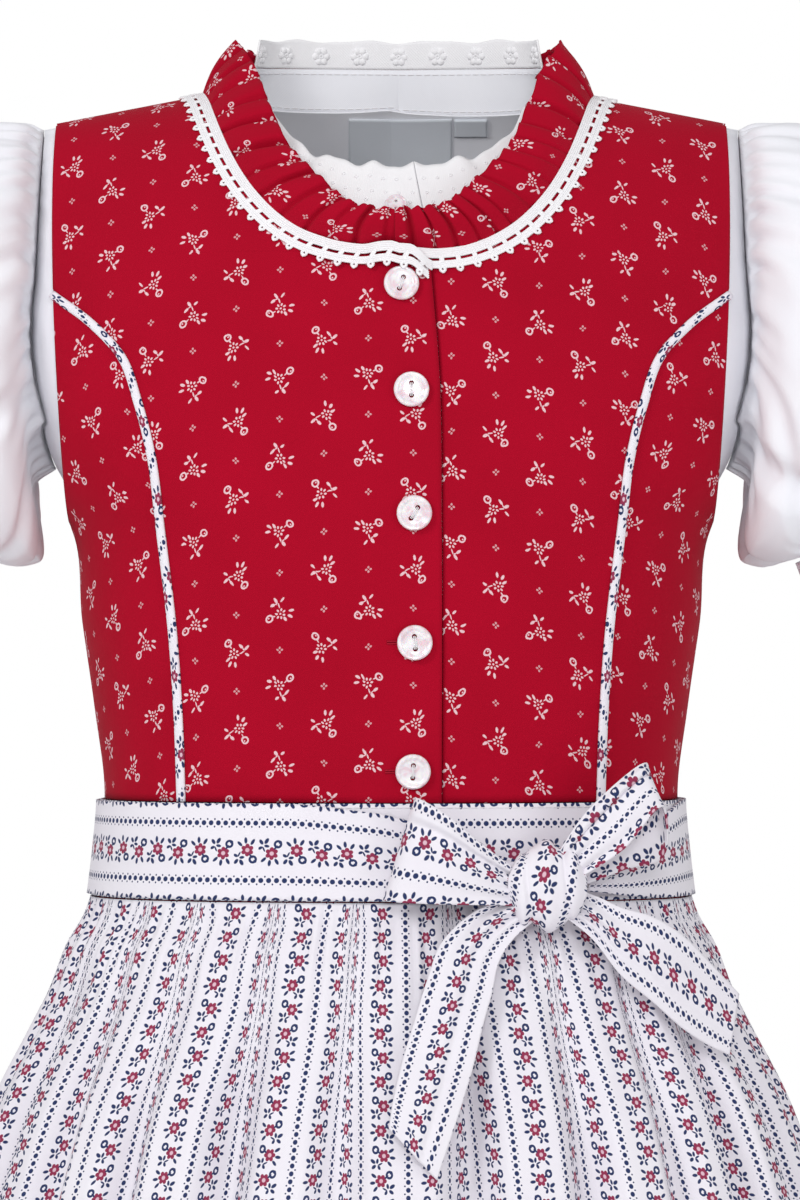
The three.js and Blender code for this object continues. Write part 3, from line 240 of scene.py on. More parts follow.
def cloth(name, points, flat, finish, thickness, loop=False, axis=(0, 0), facing=None,
          lining=None):
    """points[row][column] in mm; flat has the cut's (across, up) in mm for the same grid.
    The right side faces away from an upright axis, or towards `facing`."""
    points, flat = np.asarray(points, float), np.asarray(flat, float)
    rows, cols = points.shape[:2]
    span = cols if loop else cols - 1
    r, c = np.meshgrid(np.arange(rows - 1), np.arange(span), indexing="ij")
    ring = [(r, c), (r, c + 1), (r + 1, c + 1), (r + 1, c)]
    corner = [i * cols + j % cols for i, j in ring]
    flats = [flat[i, j] for i, j in ring]
    verts = points.reshape(-1, 3)
    across, down = verts[corner[1]] - verts[corner[0]], verts[corner[3]] - verts[corner[0]]
    middle = verts[corner[0]]
    away = (middle - np.array([*axis, 0])) * (1, 1, 0)
    if facing is not None:
        away = np.broadcast_to(facing, middle.shape)
    side = 1
    if np.sum(np.cross(across, down) * away) < 0:
        corner, flats, side = corner[::-1], flats[::-1], -1
    SURFACES[name] = (points, side)
    faces = np.stack([k.ravel() for k in corner], -1)
    mesh = bpy.data.meshes.new(name)
    mesh.from_pydata((verts * MM).tolist(), [], faces.tolist())
    uv = np.stack([f.reshape(-1, 2) for f in flats], 1) * MM
    mesh.uv_layers.new(name="flat_cut").data.foreach_set("uv", uv.ravel())
    mesh.shade_smooth()
    obj = bpy.data.objects.new(name, mesh)
    bpy.context.scene.collection.objects.link(obj)
    mesh.materials.append(finish)
    wall = obj.modifiers.new("thickness", "SOLIDIFY")
    wall.thickness, wall.offset = thickness * MM, -1
    if lining:
        mesh.materials.append(lining)
        wall.material_offset = 1
    a, b, d, e = (uv[:, k] for k in range(4))
    cross = lambda p, q: p[:, 0] * q[:, 1] - p[:, 1] * q[:, 0]
    area = 0.5 * np.abs(cross(d - a, e - b)).sum()
    size = uv.reshape(-1, 2).max(0) - uv.reshape(-1, 2).min(0)
    CUTS[name] = (float(size[0]), float(size[1]), float(area))
    return obj


print("walls in mm:", DRESS_WALL, APRON_WALL, BLOUSE_WALL, BAND_WALL, CUFF_WALL)


# %% Fixing a piece to the frame
def sewn(obj, nodes=()):
    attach(obj, "root")
    if nodes:
        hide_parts(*nodes)
    return obj


def fixed(obj, nodes=()):
    """Fixes a hard or trimming piece to the frame."""
    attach(obj, "root")
    if nodes:
        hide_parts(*nodes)
    return obj


# %% [markdown]
# ## Finishes
# Every finish starts from what the real one is. Colours are written as sRGB hex values, the way
# a colour chart gives them, and one function turns them into the linear values that the
# renderer adds up. One small function adds a node, and everything else is lists of shapes.

# %% Colour and node helpers
def linear(hex_colour, alpha=1.0):
    values = [int(hex_colour[i : i + 2], 16) / 255 for i in (1, 3, 5)]
    return [v / 12.92 if v <= 0.04045 else ((v + 0.055) / 1.055) ** 2.4 for v in values] + [alpha]


def node(tree, kind, *inputs, into=None, **settings):
    """Adds a node with its settings and links or values, by position or by name."""
    made = tree.nodes.new(kind)
    for key, value in settings.items():
        setattr(made, key, value)
    for key, value in [*enumerate(inputs), *(into or {}).items()]:
        if isinstance(value, bpy.types.Node):
            value = value.outputs[0]
        if isinstance(value, bpy.types.NodeSocket):
            tree.links.new(value, made.inputs[key])
        elif value is not None:
            made.inputs[key].default_value = value
    return made


def new_finish(name):
    material = bpy.data.materials.new(name)
    material.use_nodes = True
    material.node_tree.nodes.clear()
    return material, material.node_tree


print("a grey of #808080 in linear light:", round(linear("#808080")[0], 3))

# %% Printed shapes
MATH, VECTOR = "ShaderNodeMath", "ShaderNodeVectorMath"
RING = "ring"


def marks(tree, point, shapes, soft=0.12):
    """A mask of printed shapes: (x, y, turn in degrees, half length, half width), or
    (x, y, RING, radius, half stroke)."""
    nearest = None
    for x, y, turn, size, width in shapes:
        if turn == RING:
            place = node(tree, "ShaderNodeMapping", point, (x, y, 0), (0, 0, 0), (size, size, 1),
                         vector_type="TEXTURE")
            far = node(tree, VECTOR, place, operation="LENGTH").outputs["Value"]
            off = node(tree, MATH, far, 1.0, operation="SUBTRACT")
            far = node(tree, MATH, node(tree, MATH, off, operation="ABSOLUTE"), size / width,
                       operation="MULTIPLY")
        else:
            place = node(tree, "ShaderNodeMapping", point, (x, y, 0), (0, 0, math.radians(turn)),
                         (size, width, 1), vector_type="TEXTURE")
            far = node(tree, VECTOR, place, operation="LENGTH").outputs["Value"]
        nearest = far if nearest is None else node(tree, MATH, nearest, far, operation="MINIMUM")
    return node(tree, "ShaderNodeMapRange", nearest, 1 + soft, 1 - soft, 0.0, 1.0,
                interpolation_type="SMOOTHSTEP")


def around(x, y, count, radius, length, width, start=0):
    """Petals set round a point."""
    turns = [start + 360 * k / count for k in range(count)]
    return [(x + radius * math.cos(math.radians(t)), y + radius * math.sin(math.radians(t)), t,
             length, width) for t in turns]


# %% Flat cut, weave and cotton surface
def flat_mm(tree):
    """The piece's own flat cut, in millimetres."""
    uv = node(tree, "ShaderNodeUVMap", uv_map="flat_cut")
    return node(tree, VECTOR, uv, None, into={"Scale": 1000.0}, operation="SCALE")


def woven(tree, flat, thread, depth):
    """Bump of a plain weave: threads over and under each other."""
    x, y = (node(tree, "ShaderNodeSeparateXYZ", flat).outputs[k] for k in (0, 1))
    waves = [node(tree, MATH, node(tree, MATH, v, 2 * math.pi / thread, operation="MULTIPLY"),
                  operation="SINE") for v in (x, y)]
    weave = node(tree, MATH, *waves, operation="MULTIPLY")
    slub = node(tree, "ShaderNodeTexNoise", flat, into={"Scale": 0.05, "Detail": 3.0})
    crease = node(tree, MATH, slub, 14.0, operation="MULTIPLY")
    height = node(tree, MATH, weave, crease, operation="ADD")
    return node(tree, "ShaderNodeBump", into={"Strength": 0.35, "Distance": depth * MM,
                                              "Height": height})


def finish_cotton(tree, colour, bump, roughness=0.85, sheen=0.08):
    surface = node(tree, "ShaderNodeBsdfPrincipled", into={
        "Base Color": colour, "Roughness": roughness, "Normal": bump, "IOR": 1.47,
        "Specular IOR Level": 0.12, "Sheen Weight": sheen, "Sheen Roughness": 0.5})
    node(tree, "ShaderNodeOutputMaterial", surface)


# %% [markdown]
# ## Printed cotton of the dress
# The dress cloth is a light cotton poplin, printed red with a scatter of off-white sprigs. The
# print is a chequerboard: a sprig in every other cell and a tiny diamond of four dots between.
# Every row of sprigs is turned by a quarter. The sprig is a list of ellipses in one cell's own
# coordinates; the cell number gives the quarter turn.

# %% Red printed cotton
CELL_X, CELL_Y = 17.6, 15.2
ROSETTE = (-0.3, 1.0)
SPRIG = [
    *around(*ROSETTE, 7, 1.6, 0.58, 0.4), (*ROSETTE, 0, 0.4, 0.4),
    (-2.2, 3.4, 122, 1.05, 0.5), (-4.2, 2.7, 150, 1.1, 0.54), (-4.7, 0.5, 186, 1.1, 0.52),
    (4.1, 3.4, RING, 1.25, 0.34), (2.5, 2.5, 34, 0.9, 0.26), (4.4, 3.2, 0, 0.32, 0.32),
    (2.8, -1.9, 42, 1.15, 0.52), (1.6, -4.2, -56, 1.15, 0.58), (-1.1, -4.4, 228, 1.05, 0.44),
    (0.3, -2.3, -72, 1.1, 0.27), (1.4, -2.9, 30, 0.6, 0.24),
]
DIAMOND = around(0, 0, 4, 0.85, 0.5, 0.42)


def red_print(name):
    material, tree = new_finish(name)
    flat = flat_mm(tree)
    x, y = (node(tree, "ShaderNodeSeparateXYZ", flat).outputs[k] for k in (0, 1))
    col, row = (node(tree, MATH, node(tree, MATH, v, size, operation="DIVIDE"), operation="FLOOR")
                for v, size in ((x, CELL_X), (y, CELL_Y)))
    here = [node(tree, MATH, node(tree, MATH, v, size, operation="FLOORED_MODULO"), size / 2,
                 operation="SUBTRACT") for v, size in ((x, CELL_X), (y, CELL_Y))]
    cell = node(tree, "ShaderNodeCombineXYZ", *here)
    odd = node(tree, MATH, node(tree, MATH, col, row, operation="ADD"), 2.0,
               operation="FLOORED_MODULO")
    turn = node(tree, MATH, row, -math.pi / 2, operation="MULTIPLY")
    turned = node(tree, "ShaderNodeVectorRotate", cell, into={"Angle": turn},
                  rotation_type="Z_AXIS")
    sprig = node(tree, MATH, marks(tree, turned, SPRIG), odd, operation="MULTIPLY")
    even = node(tree, MATH, 1.0, odd, operation="SUBTRACT")
    diamond = node(tree, MATH, marks(tree, cell, DIAMOND), even, operation="MULTIPLY")
    weak = node(tree, MATH, diamond, 0.6, operation="MULTIPLY")
    mask = node(tree, MATH, sprig, weak, operation="MAXIMUM")
    mottle = node(tree, "ShaderNodeTexNoise", flat, into={"Scale": 0.02, "Detail": 4.0})
    ground = node(tree, "ShaderNodeMix", mottle, data_type="RGBA",
                  into={6: linear("#af0026"), 7: linear("#9c001e")}).outputs[2]
    ink = node(tree, "ShaderNodeTexNoise", flat, into={"Scale": 1.1, "Detail": 2.0})
    print_colour = node(tree, "ShaderNodeMix", ink, data_type="RGBA",
                        into={6: linear("#f0dade"), 7: linear("#d5a0ab")}).outputs[2]
    colour = node(tree, "ShaderNodeMix", mask, data_type="RGBA",
                  into={6: ground, 7: print_colour}).outputs[2]
    finish_cotton(tree, colour, woven(tree, flat, 0.9, 0.08), 0.85, 0.02)
    return material


dress_cotton = red_print("cotton poplin, red sprig print")
print(dress_cotton.name, "has", len(dress_cotton.node_tree.nodes), "nodes")


# %% [markdown]
# ## Striped cotton of the apron
# The apron cloth is white cotton with lines of navy dots and, between them, a climbing row of
# burgundy blossoms with navy leaves and curls. The stripe repeats every 24 mm across and every
# 20 mm along, and each second blossom is the mirror image of the first.

# %% Striped apron cotton
STRIPE, DOT_PITCH, CLIMB = 24.0, 3.15, 10.0
BLOSSOM = (-0.7, 0.5)
PETALS = [*around(*BLOSSOM, 6, 1.65, 1.05, 0.9), *around(*BLOSSOM, 3, 1.1, 0.8, 0.7)]
NAVY_LEAVES = [
    (3.2, 2.9, RING, 1.25, 0.5), (1.7, 2.0, 40, 1.3, 0.42), (4.0, 3.8, 0, 0.7, 0.7),
    (-4.1, 2.6, 150, 1.4, 0.66), (-4.7, -0.3, 186, 1.35, 0.66), (-3.3, -2.7, 226, 1.35, 0.62),
    (4.5, -1.7, 30, 1.35, 0.75), (4.1, -3.9, -34, 1.2, 0.7), (1.6, -4.2, -118, 1.0, 0.62),
    (2.4, -1.6, 100, 1.05, 0.6), (1.1, -2.8, -25, 1.2, 0.36),
]


def apron_print(name):
    material, tree = new_finish(name)
    flat = flat_mm(tree)
    u, v = (node(tree, "ShaderNodeSeparateXYZ", flat).outputs[k] for k in (0, 1))

    def centred(value, period, shift):
        moved = node(tree, MATH, value, shift, operation="ADD")
        wrapped = node(tree, MATH, moved, period, operation="FLOORED_MODULO")
        return node(tree, MATH, wrapped, period / 2, operation="SUBTRACT")

    dot_x, blossom_x = centred(u, STRIPE, 0.0), centred(u, STRIPE, STRIPE / 2)
    dot_y, speck_y = centred(v, DOT_PITCH, 0.0), centred(v, DOT_PITCH, DOT_PITCH / 2)
    dots = marks(tree, node(tree, "ShaderNodeCombineXYZ", dot_x, dot_y), [(0, 0, 0, 1.08, 1.02)])
    aside = node(tree, MATH, dot_x, operation="ABSOLUTE")
    specks = marks(tree, node(tree, "ShaderNodeCombineXYZ", aside, speck_y),
                   [(1.6, 0, 0, 0.42, 0.34)], 0.3)
    climb = node(tree, MATH, node(tree, MATH, v, CLIMB, operation="DIVIDE"), operation="FLOOR")
    odd = node(tree, MATH, climb, 2.0, operation="FLOORED_MODULO")
    mirror = node(tree, MATH, odd, -2.0, 1.0, operation="MULTIPLY_ADD")
    here = node(tree, "ShaderNodeCombineXYZ",
                node(tree, MATH, blossom_x, mirror, operation="MULTIPLY"),
                centred(v, CLIMB, 0.0))
    leaves = marks(tree, here, NAVY_LEAVES, 0.2)
    petals = marks(tree, here, PETALS)
    eye = marks(tree, here, [(*BLOSSOM, 0, 0.85, 0.85)], 0.25)
    navy = node(tree, MATH, node(tree, MATH, dots, specks, operation="MAXIMUM"), leaves,
                operation="MAXIMUM")
    mottle = node(tree, "ShaderNodeTexNoise", flat, into={"Scale": 0.03, "Detail": 3.0})
    ground = node(tree, "ShaderNodeMix", mottle, data_type="RGBA",
                  into={6: linear("#efedf3"), 7: linear("#e6e1eb")}).outputs[2]
    ink = node(tree, "ShaderNodeTexNoise", flat, into={"Scale": 1.3, "Detail": 2.0})
    blue = node(tree, "ShaderNodeMix", ink, data_type="RGBA",
                into={6: linear("#18244e"), 7: linear("#38456f")}).outputs[2]
    wine = node(tree, "ShaderNodeMix", ink, data_type="RGBA",
                into={6: linear("#86163a"), 7: linear("#9c4462")}).outputs[2]
    printed = node(tree, "ShaderNodeMix", navy, data_type="RGBA", into={6: ground, 7: blue})
    printed = node(tree, "ShaderNodeMix", petals, data_type="RGBA",
                   into={6: printed.outputs[2], 7: wine})
    printed = node(tree, "ShaderNodeMix", eye, data_type="RGBA",
                   into={6: printed.outputs[2], 7: linear("#dbb9c6")})
    finish_cotton(tree, printed.outputs[2], woven(tree, flat, 0.8, 0.07))
    return material


apron_cotton = apron_print("cotton, printed stripe of dots and blossoms")
print(apron_cotton.name, "has", len(apron_cotton.node_tree.nodes), "nodes")


# %% [markdown]
# ## White cloths, lace and pearl
# The blouse is fine white cotton batiste with a slightly cool tone. Lace is the same yarn laid
# in loops, so it gets a coarser bump. The buttons are moulded pearl plastic: a smooth coat over
# a milky body with a faint pink and green sheen that drifts through it.

# %% Plain white cloths
def white_cotton(name, bright, dull, thread, depth, roughness=0.9):
    material, tree = new_finish(name)
    flat = flat_mm(tree)
    mottle = node(tree, "ShaderNodeTexNoise", flat, into={"Scale": 0.04, "Detail": 3.0})
    colour = node(tree, "ShaderNodeMix", mottle, data_type="RGBA",
                  into={6: linear(bright), 7: linear(dull)}).outputs[2]
    finish_cotton(tree, colour, woven(tree, flat, thread, depth), roughness)
    return material


batiste = white_cotton("cotton batiste, white", "#f4f4f9", "#ebecf3", 0.8, 0.06)
lining = white_cotton("cotton lining, plain red", "#96192e", "#8a1127", 1.0, 0.06)
apron_reverse = white_cotton("reverse of the apron cotton", "#dcdae2", "#d2d0da", 1.0, 0.06)
woven_tape = white_cotton("woven satin tape, bare", "#e4e8ee", "#d9dee6", 0.6, 0.05, 0.6)
lace_yarn = white_cotton("cotton lace yarn", "#f6f5f7", "#ecebef", 1.2, 0.12)
print("plain cloths:", ", ".join(m.name for m in (batiste, lining, woven_tape, lace_yarn)))


# %% Pearl plastic and sewing thread
def pearl(name):
    material, tree = new_finish(name)
    place = node(tree, "ShaderNodeTexCoord").outputs["Object"]
    cloud = node(tree, "ShaderNodeTexNoise", place, into={"Scale": 190.0, "Detail": 1.0,
                                                          "Distortion": 1.5})
    ramp = node(tree, "ShaderNodeValToRGB", cloud)
    ramp.color_ramp.elements[0].position, ramp.color_ramp.elements[1].position = 0.35, 0.66
    ramp.color_ramp.elements[0].color = linear("#e6cdd6")
    ramp.color_ramp.elements[1].color = linear("#f7f2f3")
    middle = ramp.color_ramp.elements.new(0.5)
    middle.color = linear("#ebe5ea")
    surface = node(tree, "ShaderNodeBsdfPrincipled", into={
        "Base Color": ramp.outputs[0], "Roughness": 0.28, "IOR": 1.5, "Coat Weight": 0.6,
        "Coat Roughness": 0.1, "Subsurface Weight": 0.15, "Subsurface Scale": 0.002})
    node(tree, "ShaderNodeOutputMaterial", surface)
    return material


def thread_finish(name, colour):
    material, tree = new_finish(name)
    place = node(tree, "ShaderNodeTexCoord").outputs["Object"]
    twist = node(tree, "ShaderNodeTexNoise", place, into={"Scale": 2500.0, "Detail": 2.0})
    tone = node(tree, "ShaderNodeMix", twist, data_type="RGBA",
                into={6: linear(colour), 7: [v * 0.82 for v in linear(colour)]}).outputs[2]
    bump = node(tree, "ShaderNodeBump", into={"Strength": 0.5, "Distance": 0.0001,
                                              "Height": twist.outputs[0]})
    surface = node(tree, "ShaderNodeBsdfPrincipled", into={
        "Base Color": tone, "Roughness": 0.8, "IOR": 1.5, "Normal": bump,
        "Specular IOR Level": 0.2})
    node(tree, "ShaderNodeOutputMaterial", surface)
    return material


pearl_plastic = pearl("moulded pearl plastic")
white_thread = thread_finish("white sewing thread", "#f2f0f3")
red_thread = thread_finish("red sewing thread", "#a8122c")
print("finishes:", len(bpy.data.materials))

# %% [markdown]
# ## Bodice
# A dirndl bodice has a front on each side, a side panel behind the curved princess seam, and a
# back. The fronts and sides are made of level rows from their inner edge to their outer edge,
# and the back is a patch stretched between its four edges. The form under them gives each panel
# its depth. The flat cut is read from lengths measured along the form, so the print stays even.

# %% Flat lengths along the form
PHI_LOW, Z_HIGH, Z_STEP = -190, 22, 2.0
phis, levels = np.arange(PHI_LOW, 371.0), np.arange(Z_HIGH, -332.0, -Z_STEP)
form_grid = form_at(phis[None], levels[:, None])
run_across, run_down = travelled(form_grid.swapaxes(0, 1)).T, travelled(form_grid)


def flat_on_form(phi, z, centre=0.0):
    """Where points of the form lie in the flat cut; `centre` is the angle of its grain line."""
    def read(grid, phi, z):
        i = np.clip((Z_HIGH - z) / Z_STEP, 0, len(levels) - 1.001)
        j = np.clip(phi - PHI_LOW, 0, len(phis) - 1.001)
        a, b = i.astype(int), j.astype(int)
        s, t = i - a, j - b
        return ((grid[a, b] * (1 - t) + grid[a, b + 1] * t) * (1 - s)
                + (grid[a + 1, b] * (1 - t) + grid[a + 1, b + 1] * t) * s)

    phi, z = np.broadcast_arrays(np.asarray(phi, float), np.asarray(z, float))
    across = read(run_across, phi, z) - read(run_across, np.full_like(phi, centre), z)
    return np.stack([across, -read(run_down, phi, z)], -1)


print("the form is read at", len(levels), "levels and", len(phis), "angles")

# %% Patches, panels and edges
SEAM = 0.05  # how far a front and a back piece each stop short of the side seam


def patch(top, bottom, left, right, down):
    """(phi, z) between four edges; down says how far down each row lies, from 0 to 1."""
    s, t = np.linspace(0, 1, len(top))[None, :, None], np.asarray(down)[:, None, None]
    mix = lambda a, b, k: a * (1 - k) + b * k
    corners = mix(mix(top[0], top[-1], s), mix(bottom[0], bottom[-1], s), t)
    return mix(top[None], bottom[None], t) + mix(left[:, None], right[:, None], s) - corners


def panel(name, cells, finish, thickness, front, lift, centre, shift=(0, 0), inside=None):
    """A piece of cloth on the form, from a patch of (phi, z)."""
    phi, z = cells[..., 0], cells[..., 1]
    points = raised(form_at, phi, z, lift(phi, z))
    points[..., 1] = np.minimum(points[..., 1], -SEAM) if front else \
        np.maximum(points[..., 1], SEAM)
    flat = flat_on_form(phi, z, centre) + np.array(shift)
    return cloth(name, points, flat, finish, thickness, lining=inside)


def edge(table):
    """x of an edge at a height, from a table of (x, z) that falls."""
    line = spline(table, 500)
    return lambda z: np.interp(-np.asarray(z, float), -line[:, 1], line[:, 0])


# %% Edges of the bodice
ARMHOLE = [(135.5, float(shoulder_z(135.5))), (136, -31), (136, -52), (135.2, -84),
           (133, -128), (131, -160)]
PRINCESS = [(135.2, -84), (118, -97), (106.5, -110), (100, -128), (94.5, -150), (91.3, -176),
            (86, -222), (84, -254), (83, WAIST)]
PLACKET = [(15, -68), (16.5, -84), (19, -115), (20, -180), (20, WAIST)]
SEAM_TOP, ARM_LOW, UNDERARM = PRINCESS[0][1], -160, -176  # heights along the armhole
PLACKET_LIFT, HALF_GAP = 1.6, 0.3  # the right front laps over the left one
armhole_x, princess_x, placket_x = edge(ARMHOLE), edge(PRINCESS), edge(PLACKET)
NECK_COLUMNS, SHOULDER_COLUMNS, FRONT_COLUMNS, SIDE_COLUMNS, PANEL_ROWS = 42, 12, 64, 30, 66
NECK_SAMPLES = 160


def with_phi(x, z, front=True):
    phi = phi_front(x, z)
    return np.stack([phi if front else 180 - phi, np.broadcast_to(z, phi.shape)], -1)


def top_edge(neck, tip, front=True):
    x = np.r_[neck[:, 0], np.linspace(neck[-1, 0], tip, SHOULDER_COLUMNS + 1)[1:]]
    z = np.r_[neck[:, 2], shoulder_z(x[len(neck):])]
    return with_phi(x, z, front)


def back_top(left, right, tip):
    """The top edge of a back: a shoulder, the neckline from left to right, a shoulder."""
    neck = spline(np.vstack([left, right[::-1]]), 2 * NECK_COLUMNS)
    shoulder = np.linspace(tip, neck[0, 0], SHOULDER_COLUMNS + 1)[:-1]
    x = np.r_[shoulder, neck[:, 0], -shoulder[::-1]]
    z = np.r_[shoulder_z(shoulder), neck[:, 2], shoulder_z(shoulder[::-1])]
    return with_phi(x, z, False)


def level_rows(z, inner_x, outer_phi, columns):
    """(phi, z) in level rows, from the inner edge's x to the outer edge's angle."""
    inner = phi_front(inner_x, z)
    share = np.linspace(0, 1, columns)[None]
    phi = inner[:, None] * (1 - share) + outer_phi[:, None] * share
    return np.stack([phi, np.broadcast_to(z[:, None], phi.shape)], -1)


print("side seam in mm:", UNDERARM - WAIST)


# %% The five panels of the bodice
def bodice_front(side):
    step = HALF_GAP if side > 0 else 0
    start_x = PLACKET[0][0] + step
    neck = neck_line(side, NECK_SAMPLES)
    neck = neck[(neck[:, 1] < -1) & (neck[:, 0] * side > start_x * side + 6)]
    start = [start_x, NECK_PLAN[0, 1], PLACKET[0][1]]
    neck = spline([start, *neck[::6], neck_ridge(side)], NECK_COLUMNS)[::-1]
    keep = [0]  # only points that lie lower than the last one, so that no two rows cross
    for k in range(1, len(neck) - 1):
        if neck[keep[-1], 2] - neck[k, 2] > 0.5 and neck[k, 2] - neck[-1, 2] > 0.3:
            keep.append(k)
    neck = neck[[*keep, -1]]
    below = np.linspace(neck[-1, 2], WAIST, PANEL_ROWS)[1:]
    z = np.r_[neck[:, 2], below]
    inner = np.r_[neck[:, 0], placket_x(below) + step]
    shoulder = (SHOULDER_TOP - z) / SHOULDER_SLOPE
    x_out = np.where(z > ARMHOLE[0][1], shoulder,
                     np.where(z > SEAM_TOP, armhole_x(z), princess_x(z)))
    x_out[0] = abs(inner[0]) + HALF_GAP

    def lap(phi, z):
        return 0 * phi if side > 0 else PLACKET_LIFT * eased(form_at(phi, z)[..., 0], -22, -6)

    cells = level_rows(z, inner, phi_front(side * x_out, z), FRONT_COLUMNS)
    return panel(f"bodice_front_{HAND[side]}_cotton", cells, dress_cotton,
                 DRESS_WALL, True, lap, 0.0, (2.5, 6.0) if side > 0 else (0, 0), lining)


def arm_side_x(z):
    """The armhole's x, and below its last point a straight run to the side seam."""
    low = [ARMHOLE[-1][0], float(form_row(1, UNDERARM))]
    return np.where(z > ARM_LOW, armhole_x(z), np.interp(-z, [-ARM_LOW, -UNDERARM], low))


def bodice_side(side):
    z = np.linspace(SEAM_TOP - 0.2, WAIST, PANEL_ROWS)
    x_top = arm_side_x(z)
    outer = np.where(z > UNDERARM, phi_front(x_top, z), 90.0)
    outer[0] = max(outer[0], phi_front(princess_x(z[0]), z[0]) + 0.1)
    cells = level_rows(z, side * princess_x(z), side * outer, SIDE_COLUMNS)
    return panel(f"bodice_side_{HAND[side]}_cotton", cells, dress_cotton,
                 DRESS_WALL, True, lambda phi, z: 0 * phi, side * 65.0, (5, 3), lining)


def bodice_back():
    halves = [neck_line(side, NECK_SAMPLES) for side in (1, -1)]
    left, right = (np.vstack([neck_ridge(side), half[half[:, 1] > 1][::6]])
                   for side, half in zip((1, -1), halves))
    top = back_top(left, right, ARMHOLE[0][0])
    down = np.linspace(0, 1, PANEL_ROWS) ** 1.15
    z_edge = ARMHOLE[0][1] + (WAIST - ARMHOLE[0][1]) * down
    x_edge = arm_side_x(z_edge)
    phi = np.where(z_edge > UNDERARM, 180 - phi_front(x_edge, z_edge), 90.0)
    left, right = np.stack([phi, z_edge], -1), np.stack([360 - phi, z_edge], -1)
    bottom = np.linspace(left[-1], right[-1], len(top))
    cells = patch(top, bottom, left, right, down)
    return panel("bodice_back_cotton", cells, dress_cotton, DRESS_WALL, False,
                 lambda phi, z: 0 * phi, 180.0, (8.8, 0), lining)


for make, part in ((bodice_front, "front"), (bodice_side, "side")):
    for side, name in HAND.items():
        sewn(make(side), [f"bodice_{part}_{name}"])
sewn(bodice_back(), ["bodice_back"])

# %% [markdown]
# ## Piping over the princess seams
# The piping is a narrow bias strip of the apron cloth, folded over a cord. It is a half-round
# section swept along the seam, with a little of the apron's print showing.

# %% Piping
PIPING_HALF, PIPING_RISE, PIPING_WALL = 1.75, 1.5, 0.5
PIPING_CUT = (0.010, 0.245, 0.0014)  # width and length in m, area in m2, as the strip is cut


def piping(side):
    line = spline(PRINCESS, 160)
    along = unit(np.gradient(line, axis=0))
    arc = np.radians(np.linspace(-90, 90, 13))
    offset = PIPING_HALF * np.sin(arc)
    x = line[:, 0, None] + along[:, 1, None] * offset
    z = line[:, 1, None] - along[:, 0, None] * offset
    phi = phi_front(side * np.minimum(x, 136), z)
    points = raised(form_at, phi, z, 0.3 + PIPING_RISE * np.cos(arc)[None] ** 0.8 + 0 * x)
    run = travelled(line)
    bias = np.stack([np.broadcast_to(offset * 1.5, x.shape) + run[:, None] * 0.72,
                     run[:, None] * 0.69 - offset * 1.5], -1)
    return cloth(f"piping_{HAND[side]}_cotton", points, bias, apron_cotton,
                 PIPING_WALL)


for side, name in HAND.items():
    strip = piping(side)
    CUTS[strip.name] = PIPING_CUT
    sewn(strip, [f"piping_{name}"])

# %% [markdown]
# ## Skirt and apron
# Below the waistband the cloth is gathered: far more cloth than waist, so it falls in deep
# folds that grow towards the hem, with small creases just under the band. A fold is a valley
# with an angle at the waist, an angle at the hem, a depth and a width. The columns of the mesh
# follow the valleys, and each column keeps its own place in the flat cut, so that the stripes
# fan out from the band as they do on gathered cloth.

# %% The folds
DRAPE = [  # height, half width, depth in front, depth behind, ten times the roundness
    (-286, 116.6, 81.8, 71.3, 24), (-325, 121.6, 85.2, 75.2, 24), (-332, 124, 88, 78, 23.5),
    (-345, 131.5, 95, 86, 23), (-365, 139.5, 103, 94, 22.5), (-380, 147, 110, 101, 22),
    (-405, 160, 122, 112, 21.5), (-446, 175, 137, 127, 21), (-500, 192, 153, 143, 21),
    (-560, 210, 170, 160, 21), (-630, 229, 189, 178, 21), (-700, 245, 205, 194, 21),
]
VALLEYS = np.array([  # angle at the waist, angle at the hem, depth, width
    (-171, -172, 20, 11), (-157, -156, 15, 10), (-143, -141, 19, 11), (-128, -127, 16, 10),
    (-115, -114, 18, 10), (-98, -98.5, 17, 11), (-82, -82.5, 15, 11), (-67, -70, 18, 11),
    (-52, -55, 15, 10), (-38, -41, 16, 9), (-21, -27, 24, 11), (-6, -9, 15, 10),
    (11, 11, 22, 11), (29, 27, 18, 10), (43, 43, 15, 9), (55, 58, 19, 11), (69, 73, 15, 10),
    (82, 82.5, 18, 11), (98, 99, 16, 10), (113, 113, 18, 11), (128, 128, 16, 10),
    (143, 142, 19, 11), (158, 157, 15, 10), (173, 173, 18, 10),
])
SKIRT_TOP, SKIRT_HEM, APRON_TOP, APRON_HEM = -286.6, -700, -325.4, -660
APRON_EDGE, SKIRT_INSET = 106, 3.0
REACH = 0.52
RIDGE_EASE, TUCK_ANGLE, EVEN_ROW = 1.2, 1.6, -12  # the row whose width gives the flat cut's
drape_row = reader(DRAPE)
creases = np.stack([  # angle, half width, depth, where it runs out
    np.linspace(-178, 178, 130) + rng.uniform(-1, 1, 130), rng.uniform(1.0, 1.9, 130),
    rng.uniform(0.8, 2.4, 130), rng.uniform(-450, -350, 130)], -1)


print("valleys:", len(VALLEYS), "and creases:", len(creases))


# %% Depth of the folds
def drape_at(phi, z):
    phi, z = np.broadcast_arrays(np.asarray(phi, float), np.asarray(z, float))
    s, c = np.sin(np.radians(phi)), np.cos(np.radians(phi))
    n = drape_row(4, z) / 10
    depth = np.maximum(0, 1 - np.abs(s) ** n) ** (1 / n)
    depth = depth * np.where(c >= 0, -drape_row(2, z), drape_row(3, z))
    return np.stack([drape_row(1, z) * s, depth, z], -1)


def away_from(phi, centre):
    return (phi - centre + 540) % 360 - 180


def furrow(reach):
    """The section of a soft fold: 1 in its middle, 0 from a reach of 1 outwards."""
    return np.cos(np.minimum(reach, 1) * np.pi / 2) ** 2


